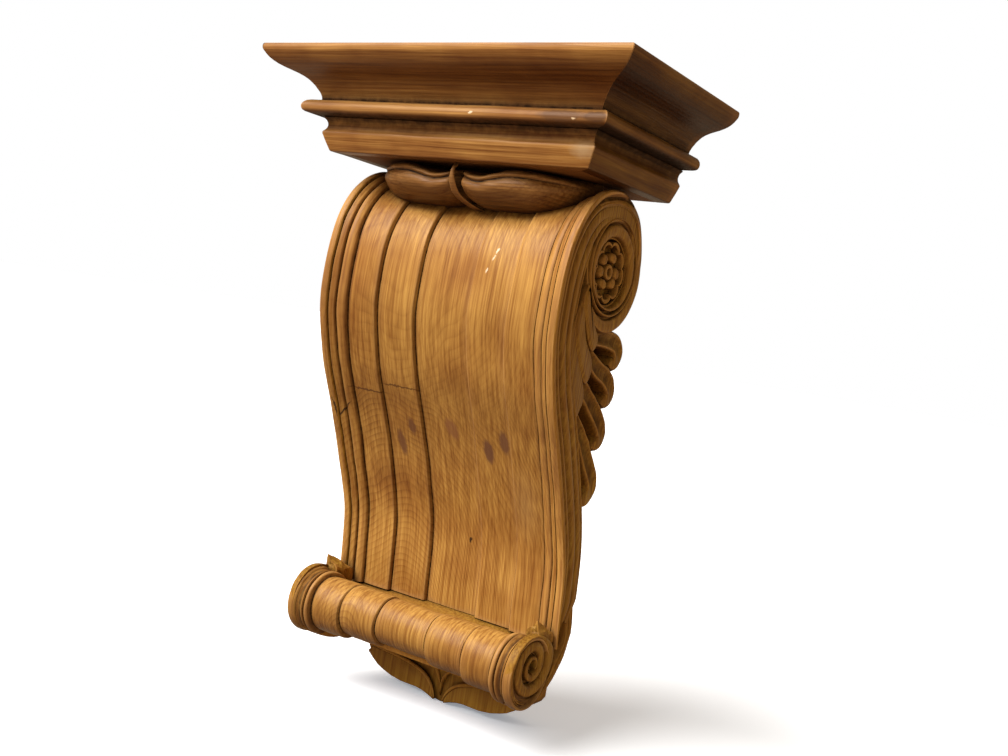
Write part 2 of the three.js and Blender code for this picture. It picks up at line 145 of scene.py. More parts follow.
class Track:
    """A smooth plane curve through points, read by its share of the length."""

    def __init__(self, points: Sequence[Vector], samples: int = 16) -> None:
        """Sample a Catmull-Rom curve through the points.

        Args:
            points: Points in the plane, in order.
            samples: Samples between two points.
        """
        self.dots: list[Vector] = []
        last = len(points) - 1
        for low in range(last):
            p0, p1 = points[max(low - 1, 0)], points[low]
            p2, p3 = points[low + 1], points[min(low + 2, last)]
            for i in range(samples):
                u = i / samples
                a, b = (p2 - p0) / 2, (p3 - p1) / 2
                self.dots.append(
                    p1 + a * u + (3 * (p2 - p1) - 2 * a - b) * u**2
                    + (2 * (p1 - p2) + a + b) * u**3
                )
        self.dots.append(points[last].copy())
        self.marks = [0.0]
        for p, q in zip(self.dots, self.dots[1:]):
            self.marks.append(self.marks[-1] + (q - p).length)

    def at(self, share: float) -> Vector:
        """Give the point at a share of the length."""
        goal = min(max(share, 0.0), 1.0) * self.marks[-1]
        low = min(bisect_right(self.marks, goal) - 1, len(self.dots) - 2)
        span = self.marks[low + 1] - self.marks[low]
        return self.dots[low].lerp(self.dots[low + 1], (goal - self.marks[low]) / span)

    def heading(self, share: float) -> Vector:
        """Give the unit direction of travel at a share of the length."""
        near, far = max(share - 0.004, 0.0), min(share + 0.004, 1.0)
        return (self.at(far) - self.at(near)).normalized()

    def aside(self, share: float, lift: float) -> Vector:
        """Give the point at a share of the length, moved sideways by lift."""
        way = self.heading(share)
        return self.at(share) + Vector((way.y, -way.x)) * lift


def hand(at: Vector, scale: float, amount: float) -> float:
    """Give the small unevenness that hand tools leave at a point.

    Args:
        at: The point, in mm.
        scale: The size of the waves, in mm.
        amount: Their height, in mm.

    Returns:
        A signed offset in mm, the same on every run.
    """
    return noise.noise(at / scale) * amount


# Mesh making


def sweep(outline: Sequence[Pair], steps: int, place: Place, closed: bool = True,
          capped: bool = True, grime_and_shade: Sequence[float] = ()) -> bmesh.types.BMesh:
    """Extrude an outline step by step, each of its points placed by a rule.

    Args:
        outline: Points (a, b) of the section.
        steps: Extrusion steps.
        place: Gives the place in mm for a, b and the share t along the way.
        closed: Whether the section is a closed loop.
        capped: Whether both ends are filled.
        grime_and_shade: How much dirt and painted shade lies along each point of the outline, from 0 to
            1.

    Returns:
        The swept mesh, in mm.
    """
    bm = bmesh.new()
    number = bm.verts.layers.int.new("number")
    grime_and_shade_layer = bm.verts.layers.float.new("grime_and_shade")
    corners = []
    for index, (a, b) in enumerate(outline):
        corner = bmesh.ops.create_vert(bm, co=place(a, b, 0.0))["vert"][0]
        corner[number] = index
        corners.append(corner)
    ends = corners[1:] + corners[:1] if closed else corners[1:]
    first = [bm.edges.new(pair) for pair in zip(corners, ends)]
    rim = first
    for step in range(1, steps + 1):
        grown = bmesh.ops.extrude_edge_only(bm, edges=rim)["geom"]
        fresh = {item for item in grown if isinstance(item, bmesh.types.BMVert)}
        rim = [
            item for item in grown
            if isinstance(item, bmesh.types.BMEdge) and set(item.verts) <= fresh
        ]
        for vert in fresh:
            a, b = outline[vert[number]]
            vert.co = place(a, b, step / steps)
    if capped and closed:
        bmesh.ops.triangle_fill(bm, use_beauty=True, edges=first)
        bmesh.ops.triangle_fill(bm, use_beauty=True, edges=rim)
    if grime_and_shade:
        for vert in bm.verts:
            vert[grime_and_shade_layer] = grime_and_shade[vert[number]]
    return bm


def plate(outline: Sequence[Vector], x0: float, x1: float, round_by: float = 0.0,
          swell: float = 0.0) -> bmesh.types.BMesh:
    """Make a board from an outline in the side plane, with a rounded or swollen face.

    Args:
        outline: Points (y, z) in mm, in order.
        x0: The hidden side's distance from the middle.
        x1: The face's distance from the middle.
        round_by: Radius on the face's edge.
        swell: How far the middle of the face stands above its edge.

    Returns:
        The board as a mesh in mm.
    """
    bm = bmesh.new()
    verts = [bmesh.ops.create_vert(bm, co=(x0, p.x, p.y))["vert"][0] for p in outline]
    rim = [bm.edges.new(pair) for pair in zip(verts, verts[1:] + verts[:1])]
    base = bmesh.ops.edgeloop_fill(bm, edges=rim)["faces"]
    grown = bmesh.ops.extrude_face_region(bm, geom=base, use_keep_orig=True)["geom"]
    top = [item for item in grown if isinstance(item, bmesh.types.BMFace)]
    lifted = [item for item in grown if isinstance(item, bmesh.types.BMVert)]
    bmesh.ops.translate(bm, verts=lifted, vec=(x1 - x0, 0, 0))
    bmesh.ops.recalc_face_normals(bm, faces=bm.faces)
    if round_by:
        edges = {edge for face in top for edge in face.edges}
        bmesh.ops.bevel(
            bm, geom=list(edges), offset=round_by, offset_type="OFFSET", segments=4,
            profile=0.5, affect="EDGES", material=-1, clamp_overlap=True,
        )
    if swell:
        bm.faces.ensure_lookup_table()
        flat = [item for item in bm.faces if abs(item.normal.x) > 0.999]
        face = max(flat, key=lambda item: item.calc_center_median().x)
        for part in SWELL_SHARES:
            bmesh.ops.inset_region(
                bm, faces=[face], thickness=SWELL_STEP, depth=swell * part,
                use_even_offset=False,
            )
    return bm


def merge_into(target: bmesh.types.BMesh, *sources: bmesh.types.BMesh) -> bmesh.types.BMesh:
    """Move the geometry of the sources into the target and return it."""
    for source in sources:
        spare = bpy.data.meshes.new("spare")
        source.to_mesh(spare)
        source.free()
        target.from_mesh(spare)
        bpy.data.meshes.remove(spare)
    return target


def add_mirrored(bm: bmesh.types.BMesh) -> None:
    """Add the mesh's mirror image on the other side of the middle plane."""
    copy = bmesh.ops.duplicate(bm, geom=bm.verts[:] + bm.edges[:] + bm.faces[:])["geom"]
    verts = [item for item in copy if isinstance(item, bmesh.types.BMVert)]
    faces = [item for item in copy if isinstance(item, bmesh.types.BMFace)]
    bmesh.ops.scale(bm, vec=(-1, 1, 1), verts=verts)
    bmesh.ops.reverse_faces(bm, faces=faces)


def mark_curvature(bm: bmesh.types.BMesh, passes: int = 2) -> None:
    """Store how hollow (above 0.5) or proud (below 0.5) each point lies, as "hollow".

    Args:
        bm: The finished mesh in mm, with its normals right.
        passes: Smoothing passes over the neighbours.
    """
    layer = bm.verts.layers.float.new("hollow")
    for vert in bm.verts:
        total = 0.0
        for edge in vert.link_edges:
            way = edge.other_vert(vert).co - vert.co
            if way.length > 1e-6:
                total += way.normalized().dot(vert.normal)
        vert[layer] = total / max(len(vert.link_edges), 1)
    for _ in range(passes):
        values = {
            vert: sum(edge.other_vert(vert)[layer] for edge in vert.link_edges)
            / max(len(vert.link_edges), 1)
            for vert in bm.verts
        }
        for vert, value in values.items():
            vert[layer] = 0.5 * vert[layer] + 0.5 * value
    for vert in bm.verts:
        vert[layer] = min(max(0.5 + vert[layer], 0.0), 1.0)


# Finishes


def linear(code: str) -> tuple[float, float, float, float]:
    """Turn an sRGB hex value into linear RGBA."""
    parts = [int(code[i:i + 2], 16) / 255 for i in (1, 3, 5)]
    flat = [c / 12.92 if c <= 0.04045 else ((c + 0.055) / 1.055) ** 2.4 for c in parts]
    return (*flat, 1.0)


def add_node(tree: bpy.types.NodeTree, kind: str, settings: dict[str, object] | None = None,
             **links: object) -> bpy.types.Node:
    """Add a node, set its properties and fill its inputs.

    Args:
        tree: The node tree.
        kind: The node's type name without the leading ShaderNode.
        settings: Properties of the node itself.
        **links: Input names, with _ for a space and in_N for a number, with a value or a socket.

    Returns:
        The new node.
    """
    new = tree.nodes.new("ShaderNode" + kind)
    for key, value in (settings or {}).items():
        setattr(new, key, value)
    for key, value in links.items():
        name = int(key[3:]) if key.startswith("in_") else key.replace("_", " ")
        socket = new.inputs[name]
        if isinstance(value, bpy.types.NodeSocket):
            tree.links.new(value, socket)
        else:
            socket.default_value = value
    return new


@dataclass(frozen=True)
class Mark:
    """A local mark on the front of the wood, an oval in X and Z in mm."""

    x: float
    z: float
    half_width: float
    half_height: float
    colour: str
    strength: float = 0.8
    slant: float = 0.0
    soft: float = 0.45

    def paint(self, tree: bpy.types.NodeTree, place: bpy.types.NodeSocket,
              wood: bpy.types.NodeSocket) -> bpy.types.NodeSocket:
        """Lay the mark over a colour.

        Args:
            tree: The material's nodes.
            place: Coordinates in mm, a little disturbed.
            wood: The colour below the mark.

        Returns:
            The colour with the mark on it.
        """
        centred = add_node(
            tree, "VectorMath", {"operation": "SUBTRACT"}, in_0=place, in_1=(self.x, 0, self.z),
        ).outputs[0]
        across = add_node(
            tree, "VectorMath", {"operation": "DOT_PRODUCT"}, in_0=centred,
            in_1=(1 / self.half_width, 0, -self.slant / self.half_width),
        ).outputs["Value"]
        along = add_node(
            tree, "VectorMath", {"operation": "DOT_PRODUCT"}, in_0=centred,
            in_1=(0, 0, 1 / self.half_height),
        ).outputs["Value"]
        both = add_node(tree, "CombineXYZ", None, X=across, Y=along).outputs[0]
        far = add_node(tree, "VectorMath", {"operation": "LENGTH"}, in_0=both).outputs["Value"]
        share = add_node(
            tree, "MapRange", None, Value=far, in_1=MARK_RIM, in_2=MARK_RIM - self.soft,
            in_3=0.0, in_4=self.strength,
        ).outputs[0]
        return add_node(
            tree, "Mix", {"data_type": "RGBA", "blend_type": "MIX"}, Factor=share,
            in_6=wood, in_7=linear(self.colour),
        ).outputs[2]


@dataclass(frozen=True)
class WaxedPine:
    """Stripped and waxed pine: pale early wood between darker, slightly proud growth rings."""

    name: str
    early: str
    late: str
    # Colour of the dirt and painted shade in grooves and corners
    grime_and_shade: str
    grain: Grain
    pith: Triple = (40.0, 260.0, 0.0)
    lean: Triple = (0.0, 0.0, 0.0)
    ring: float = 5.0
    ring_contrast: float = 0.55
    blotch: float = 0.35
    dirt_and_shade: float = 0.92
    rough: float = 0.42
    # Colour of the worn edges, which also carries a painted highlight on them
    edge: str = "#d9a468"
    wear_and_highlight: float = 0.35
    # How strongly faces that turn down are darkened, as painted shade
    underside_shade: float = 0.75
    # Strength of the wax's reflection, lower on dusty sides
    sheen: float = 0.2
    # How fast the fibres change with depth: low where the face curves back, so that they stay long
    sheet: float = 1.0
    marks: tuple[Mark, ...] = ()
    # Rows of (height in mm, brightness): painted shade that darkens the wood by its height
    shade_by_height: tuple[Pair, ...] = ()
    # Middle of the arcs in the cut face below the joint, as (x, z, height of the joint)
    arcs: Triple | None = None

    def material(self) -> bpy.types.Material:
        """Build the material from Object coordinates in millimetres.

        Returns:
            The finished material.
        """
        material = bpy.data.materials.new(self.name)
        material.use_nodes = True
        tree = material.node_tree
        tree.nodes.clear()
        place = add_node(tree, "TexCoord").outputs["Object"]
        turned = add_node(
            tree, "Mapping", {"vector_type": "POINT"}, Vector=place,
            Rotation=self.grain.value, Scale=(1000, 1000, 1000),
        ).outputs["Vector"]
        shifted = add_node(
            tree, "Mapping", {"vector_type": "POINT"}, Vector=turned,
            Location=self.pith, Rotation=self.lean,
        ).outputs["Vector"]
        rings = self.ring_pattern(tree, shifted)
        if self.arcs:
            rings = self.arc_pattern(tree, turned, rings)
        fibre = self.fibre_pattern(tree, turned)
        blotch = add_node(
            tree, "TexNoise", {"noise_dimensions": "3D"}, Vector=turned,
            Scale=1 / BLOTCH_SIZE, Detail=3.0, Roughness=0.55,
        ).outputs["Fac"]
        hollow = add_node(
            tree, "Attribute", {"attribute_type": "GEOMETRY", "attribute_name": "hollow"},
        ).outputs["Fac"]
        wood = add_node(
            tree, "Mix", {"data_type": "RGBA", "blend_type": "MIX"}, Factor=rings,
            in_6=linear(self.early), in_7=linear(self.late),
        ).outputs[2]
        facing = add_node(tree, "TexCoord").outputs["Normal"]
        facing = add_node(tree, "SeparateXYZ", None, Vector=facing).outputs["Z"]
        # Rows of (source, where the layer starts, where it is full, its strength, blend, colour)
        layers = (
            (fibre, 0.36, 0.66, 0.75, "MULTIPLY", FIBRE_TINT),
            (blotch, 0.42, 0.68, self.blotch, "MULTIPLY", WAX_TINT),
            # Worn edges with a painted highlight: proud points turn paler
            (hollow, 0.46, 0.34, self.wear_and_highlight, "MIX", self.edge),
            # Painted shade: faces that turn down are darkened
            (facing, -0.35, -0.92, self.underside_shade, "MULTIPLY", UNDERSIDE_SHADE_TINT),
        )
        for source, first, full, most, blend, tint in layers:
            share = add_node(
                tree, "MapRange", None, Value=source, in_1=first, in_2=full, in_3=0.0, in_4=most,
            ).outputs[0]
            wood = add_node(
                tree, "Mix", {"data_type": "RGBA", "blend_type": blend}, Factor=share,
                in_6=wood, in_7=linear(tint),
            ).outputs[2]
        wood = self.shaded_and_marked(tree, turned, wood)
        dirt_and_shade = self.dirt_and_shade_pattern(tree, turned, hollow)
        colour = add_node(
            tree, "Mix", {"data_type": "RGBA", "blend_type": "MIX"}, Factor=dirt_and_shade,
            in_6=wood, in_7=linear(self.grime_and_shade),
        ).outputs[2]
        rough = add_node(
            tree, "MapRange", None, Value=dirt_and_shade, in_1=0.0, in_2=1.0, in_3=self.rough, in_4=0.8,
        ).outputs[0]
        relief = add_node(
            tree, "Math", {"operation": "MULTIPLY_ADD"}, in_0=rings, in_1=0.5, in_2=fibre,
        ).outputs[0]
        bump = add_node(
            tree, "Bump", None, Height=relief, Strength=0.5, Distance=0.0008,
        ).outputs["Normal"]
        shader = add_node(
            tree, "BsdfPrincipled", None, Base_Color=colour, Roughness=rough, Normal=bump,
            IOR=1.45, Specular_IOR_Level=self.sheen,
        )
        add_node(tree, "OutputMaterial", None, Surface=shader.outputs[0])
        return material

    def shaded_and_marked(self, tree: bpy.types.NodeTree, place: bpy.types.NodeSocket,
              wood: bpy.types.NodeSocket) -> bpy.types.NodeSocket:
        """Darken the wood with the height as painted shade, and lay on the marks.

        Args:
            tree: The material's nodes.
            place: Coordinates in mm.
            wood: The colour so far.

        Returns:
            The colour with the painted shade and the marks.
        """
        if self.shade_by_height:
            height = add_node(tree, "SeparateXYZ", None, Vector=place).outputs["Z"]
            part = add_node(
                tree, "MapRange", None, Value=height, in_1=-TOP_Z, in_2=TOP_Z,
            ).outputs[0]
            ramp = add_node(tree, "ValToRGB", None, Fac=part)
            stops = ramp.color_ramp.elements
            while len(stops) < len(self.shade_by_height):
                stops.new(0.5)
            for stop, (level, value) in zip(stops, self.shade_by_height):
                stop.position = (level + TOP_Z) / (2 * TOP_Z)
                stop.color = (value, value * (0.95 + 0.05 * value), value * (0.8 + 0.2 * value), 1)
            wood = add_node(
                tree, "Mix", {"data_type": "RGBA", "blend_type": "MULTIPLY"}, Factor=1.0,
                in_6=wood, in_7=ramp.outputs[0],
            ).outputs[2]
        if self.marks:
            place = add_node(tree, "TexCoord").outputs["Object"]
            place = add_node(
                tree, "VectorMath", {"operation": "SCALE"}, in_0=place, Scale=1000.0,
            ).outputs[0]
            ragged = add_node(
                tree, "TexNoise", {"noise_dimensions": "3D"}, Vector=place,
                Scale=1 / RAGGED, Detail=3.0, Roughness=0.7,
            ).outputs["Color"]
            place = add_node(
                tree, "VectorMath", {"operation": "MULTIPLY_ADD"}, in_0=ragged,
                in_1=(RAGGED, RAGGED, RAGGED), in_2=place,
            ).outputs[0]
            place = add_node(
                tree, "VectorMath", {"operation": "SUBTRACT"}, in_0=place,
                in_1=(RAGGED / 2, RAGGED / 2, RAGGED / 2),
            ).outputs[0]
        for mark in self.marks:
            wood = mark.paint(tree, place, wood)
        return wood

    def arc_pattern(self, tree: bpy.types.NodeTree, place: bpy.types.NodeSocket,
                    upper: bpy.types.NodeSocket) -> bpy.types.NodeSocket:
        """Draw the arched rings of the lower board, and keep the upper board's above the joint.

        Args:
            tree: The material's nodes.
            place: Coordinates in mm.
            upper: The ring factor of the upper board.

        Returns:
            The ring factor of both boards.
        """
        x, z, joint = self.arcs
        flat = add_node(
            tree, "VectorMath", {"operation": "SUBTRACT"}, in_0=place, in_1=(x, 0, z),
        ).outputs[0]
        parts = add_node(tree, "SeparateXYZ", None, Vector=flat)
        squat = add_node(
            tree, "Math", {"operation": "MULTIPLY"}, in_0=parts.outputs["Z"], in_1=ARC_SQUAT,
        ).outputs[0]
        turned = add_node(
            tree, "CombineXYZ", None, X=parts.outputs["X"], Y=squat, Z=parts.outputs["Y"],
        ).outputs[0]
        lower = self.ring_pattern(tree, turned)
        height = add_node(tree, "SeparateXYZ", None, Vector=place).outputs["Z"]
        below = add_node(
            tree, "MapRange", None, Value=height, in_1=joint, in_2=joint - JOINT_BLEND,
        ).outputs[0]
        faint = add_node(
            tree, "Math", {"operation": "MULTIPLY"}, in_0=upper, in_1=0.5,
        ).outputs[0]
        return add_node(
            tree, "Mix", {"data_type": "FLOAT"}, Factor=below, in_2=faint, in_3=lower,
        ).outputs[0]

    def ring_pattern(self, tree: bpy.types.NodeTree,
                     place: bpy.types.NodeSocket) -> bpy.types.NodeSocket:
        """Draw the growth rings round the pith.

        Args:
            tree: The material's nodes.
            place: Coordinates in mm with the pith along Z.

        Returns:
            A factor that is 1 in the dark late wood.
        """
        stretched = add_node(
            tree, "Mapping", {"vector_type": "POINT"}, Vector=place, Scale=(1, 1, 0.16),
        ).outputs["Vector"]
        sway = add_node(
            tree, "TexNoise", {"noise_dimensions": "3D"}, Vector=stretched,
            Scale=1 / SWAY_SIZE, Detail=2.0, Roughness=0.45,
        ).outputs["Color"]
        sway = add_node(
            tree, "VectorMath", {"operation": "SUBTRACT"}, in_0=sway, in_1=(0.5, 0.5, 0.5),
        ).outputs[0]
        bent = add_node(
            tree, "VectorMath", {"operation": "MULTIPLY_ADD"}, in_0=sway,
            in_1=(SWAY, SWAY, 0), in_2=place,
        ).outputs[0]
        flat = add_node(
            tree, "VectorMath", {"operation": "MULTIPLY"}, in_0=bent, in_1=(1, 1, 0),
        ).outputs[0]
        far = add_node(tree, "VectorMath", {"operation": "LENGTH"}, in_0=flat).outputs["Value"]
        count = add_node(
            tree, "Math", {"operation": "DIVIDE"}, in_0=far, in_1=self.ring,
        ).outputs[0]
        part = add_node(tree, "Math", {"operation": "FRACT"}, in_0=count).outputs[0]
        ramp = add_node(tree, "ValToRGB", None, Fac=part)
        stops = ramp.color_ramp
        stops.elements[0].position = 0.0
        stops.elements[0].color = (0.25, 0.25, 0.25, 1)
        stops.elements[1].position = 0.12
        stops.elements[1].color = (0, 0, 0, 1)
        for position, value in ((0.5, 0.1), (0.8, 0.55), (0.93, 1.0), (1.0, 0.4)):
            stops.elements.new(position).color = (value, value, value, 1)
        weight = add_node(
            tree, "TexNoise", {"noise_dimensions": "3D"}, Vector=stretched,
            Scale=1 / WEIGHT_SIZE, Detail=1.0,
        ).outputs["Fac"]
        weight = add_node(
            tree, "MapRange", None, Value=weight, in_1=0.3, in_2=0.7, in_3=0.35, in_4=1.0,
        ).outputs[0]
        strong = add_node(
            tree, "Math", {"operation": "MULTIPLY"}, in_0=ramp.outputs[0], in_1=weight,
        ).outputs[0]
        return add_node(
            tree, "Math", {"operation": "MULTIPLY", "use_clamp": True}, in_0=strong,
            in_1=self.ring_contrast,
        ).outputs[0]

    def fibre_pattern(self, tree: bpy.types.NodeTree,
                      place: bpy.types.NodeSocket) -> bpy.types.NodeSocket:
        """Draw fine fibres, coarser than real ones so that they show.

        Args:
            tree: The material's nodes.
            place: Coordinates in mm with the fibres along Z.

        Returns:
            A factor that rises in the darker fibres, 1 to 3 mm apart and up to 180 mm long.
        """
        stretched = add_node(
            tree, "Mapping", {"vector_type": "POINT"}, Vector=place, Scale=(1, self.sheet, 0.016),
        ).outputs["Vector"]
        return add_node(
            tree, "TexNoise", {"noise_dimensions": "3D"}, Vector=stretched,
            Scale=1 / FIBRE_WIDTH, Detail=3.0, Roughness=0.75,
        ).outputs["Fac"]

    def dirt_and_shade_pattern(self, tree: bpy.types.NodeTree, place: bpy.types.NodeSocket,
                     hollow: bpy.types.NodeSocket) -> bpy.types.NodeSocket:
        """Gather dark wax and dust in the grooves and corners, with painted shade where they are
        occluded.

        Args:
            tree: The material's nodes.
            place: Coordinates in mm.
            hollow: The stored hollowness, 0.5 on flat wood.

        Returns:
            A factor that is 1 where dirt and painted shade cover the wood.
        """
        # Painted shade: ambient occlusion darkens corners and grooves
        shade = add_node(
            tree, "AmbientOcclusion", {"samples": 6, "only_local": False}, Distance=0.014,
        ).outputs["AO"]
        shade = add_node(
            tree, "MapRange", None, Value=shade, in_1=0.8, in_2=0.25, in_3=0.0, in_4=0.9,
        ).outputs[0]
        groove = add_node(
            tree, "MapRange", None, Value=hollow, in_1=0.535, in_2=0.62, in_3=0.0, in_4=1.0,
        ).outputs[0]
        laid = add_node(
            tree, "Attribute", {"attribute_type": "GEOMETRY", "attribute_name": "grime_and_shade"},
        ).outputs["Fac"]
        groove = add_node(
            tree, "Math", {"operation": "MAXIMUM"}, in_0=groove, in_1=laid,
        ).outputs[0]
        broken = add_node(
            tree, "TexNoise", {"noise_dimensions": "3D"}, Vector=place,
            Scale=1 / DIRT_AND_SHADE_SIZE, Detail=3.0, Roughness=0.65,
        ).outputs["Fac"]
        broken = add_node(
            tree, "MapRange", None, Value=broken, in_1=0.3, in_2=0.6, in_3=0.55, in_4=1.0,
        ).outputs[0]
        both = add_node(
            tree, "Math", {"operation": "MAXIMUM"}, in_0=shade, in_1=groove,
        ).outputs[0]
        both = add_node(
            tree, "Math", {"operation": "MULTIPLY"}, in_0=both, in_1=broken,
        ).outputs[0]
        return add_node(
            tree, "Math", {"operation": "MULTIPLY", "use_clamp": True}, in_0=both, in_1=self.dirt_and_shade,
        ).outputs[0]


# Planed and waxed pine: red-brown, with long straight rings that catch a soft sheen, water stains
# and two pale knocks on the front
CORNICE_PINE = WaxedPine(
    "waxed pine, planed along the cornice", "#b68648", "#865824", "#241304", Grain.ACROSS,
    pith=(120.0, 150.0, 0.0), ring=6.0, blotch=0.6, underside_shade=0.85,
    marks=(
        Mark(135.0, 276.0, 26.0, 5.5, "#5f4230", 0.7),
        Mark(170.0, 276.0, 14.0, 5.0, "#54392a", 0.75),
        Mark(152.0, 250.0, 15.0, 8.0, "#b79c78", 0.6, soft=0.9),
        Mark(35.0, 275.5, 2.4, 1.1, "#f0dcbc", 0.9),
        Mark(147.8, 273.8, 2.0, 1.2, "#ead2ae", 0.9),
    ),
)
# The same board made duller and darker as painted shade, so that the sides fall back from the front
SHADED_RETURN_PINE = WaxedPine(
    "waxed pine, planed along the returns", "#785422", "#523510", "#1a0e04", Grain.INTO,
    pith=(150.0, 90.0, 0.0), ring=6.0, blotch=0.7, underside_shade=0.95, edge="#9a6c3c", sheen=0.08,
)
# Sawn pine without wax: matt, greyish and flat in tone
BOARD_PINE = WaxedPine(
    "sawn pine board", "#8f6a40", "#6a4826", "#1d1209", Grain.ACROSS,
    pith=(60.0, 180.0, 0.0), ring=5.0, rough=0.7, underside_shade=0.9, sheen=0.08,
)
# Carved pine with wax left in it: the darkest wood, with warm crests on the lobes, worn and with a
# painted highlight
NECKING_PINE = WaxedPine(
    "dark waxed pine, carved", "#946a38", "#5c3c14", "#1c1006", Grain.ACROSS,
    pith=(60.0, 120.0, 0.0), ring=4.0, ring_contrast=0.8, edge="#a87845", dirt_and_shade=1.0,
)
# Stripped pine with a hand-rubbed skin: honey yellow, upright fibres, a joint with arched rings
# below it, and dark finger smudges where it was handled
SCROLL_PINE = WaxedPine(
    "stripped pine, carved upright", "#cf9c4f", "#985f26", "#2e1a09", Grain.UP,
    pith=(60.0, 330.0, 0.0), lean=(0.12, 0.08, 0.0), ring=4.0, ring_contrast=0.6, blotch=0.55,
    sheet=0.2,
    # Painted shade: darker in the middle where the face turns down, darkest low on the roll
    shade_by_height=(
        (-285.0, 0.5), (-248.0, 0.6), (-222.0, 0.84), (-120.0, 0.76), (-20.0, 0.63), (90.0, 0.7),
        (150.0, 0.95), (200.0, 1.0),
    ),
    arcs=(-70.0, -265.0, 4.0),
    marks=(
        Mark(-63.0, -56.0, 5.5, 14.0, "#5f3a24", 0.85, -0.15),
        Mark(-46.3, -36.0, 5.0, 9.0, "#5c3822", 0.85, -0.15),
        Mark(4.1, -29.8, 8.0, 11.0, "#74492c", 0.75, -0.35),
        Mark(51.4, -44.4, 6.5, 12.5, "#5e3c29", 0.9, -0.12),
        Mark(71.7, -31.6, 6.0, 11.5, "#5e3c29", 0.85, -0.12),
        Mark(18.4, -146.0, 1.6, 3.0, "#2c1808", 0.95),
        Mark(55.6, 154.2, 1.4, 3.4, "#f3dfc0", 0.85, 0.4),
        Mark(52.9, 147.0, 0.8, 2.6, "#f3dfc0", 0.7, 0.4),
        Mark(48.3, 133.7, 0.9, 3.0, "#f3dfc0", 0.7, 0.4),
        Mark(-98.0, -6.3, 24.0, 1.1, "#4a2a10", 0.8),
        Mark(-55.5, 3.5, 26.0, 1.1, "#4a2a10", 0.8),
        Mark(-138.9, -31.6, 1.2, 12.0, "#24140a", 0.9, -0.2),
        Mark(-130.0, -32.8, 1.2, 10.0, "#24140a", 0.9, 0.79),
        Mark(95.0, -92.0, 20.0, 40.0, "#9d7c50", 0.3, soft=1.0),
    ),
)
# Carved and waxed side grain: olive brown and quiet, hollows dark with dirt and painted shade, edges
# pale with wear and a painted highlight
SIDE_PINE = WaxedPine(
    "waxed pine, carved sides", "#9f762e", "#704f18", "#211206", Grain.UP,
    pith=(60.0, 330.0, 0.0), lean=(0.1, 0.05, 0.0), ring=4.5, ring_contrast=0.4,
    edge="#b98242", dirt_and_shade=0.85, sheen=0.1,
)


def settle(bm: bmesh.types.BMesh, name: str, node: str, slot: str, finish: WaxedPine,
           crease: float = 40.0) -> bpy.types.Object:
    """Turn a mesh in mm into a dressed piece that stands for a CAD node.

    Args:
        bm: The mesh in mm; it is freed.
        name: The new object's name.
        node: The CAD node that it stands for.
        slot: The record's material slot; it is not used.
        finish: What the piece is made of.
        crease: Edges sharper than this angle in degrees stay sharp.

    Returns:
        The object, at the origin, riding on the root body.
    """
    bmesh.ops.remove_doubles(bm, verts=bm.verts, dist=0.02)
    bmesh.ops.recalc_face_normals(bm, faces=bm.faces)
    bm.normal_update()
    mark_curvature(bm)
    bmesh.ops.scale(bm, vec=(MM, MM, MM), verts=bm.verts)
    mesh = bpy.data.meshes.new(name)
    bm.to_mesh(mesh)
    bm.free()
    piece = bpy.data.objects.new(name, mesh)
    bpy.context.scene.collection.objects.link(piece)
    mesh.shade_smooth()
    mesh.set_sharp_from_angle(angle=radians(crease))
    known = bpy.data.materials.get(finish.name)
    mesh.materials.append(known or finish.material())
    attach(piece, "root")
    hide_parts(node)
    log.info("%s: %d faces", name, len(mesh.polygons))
    return piece


# Cornice


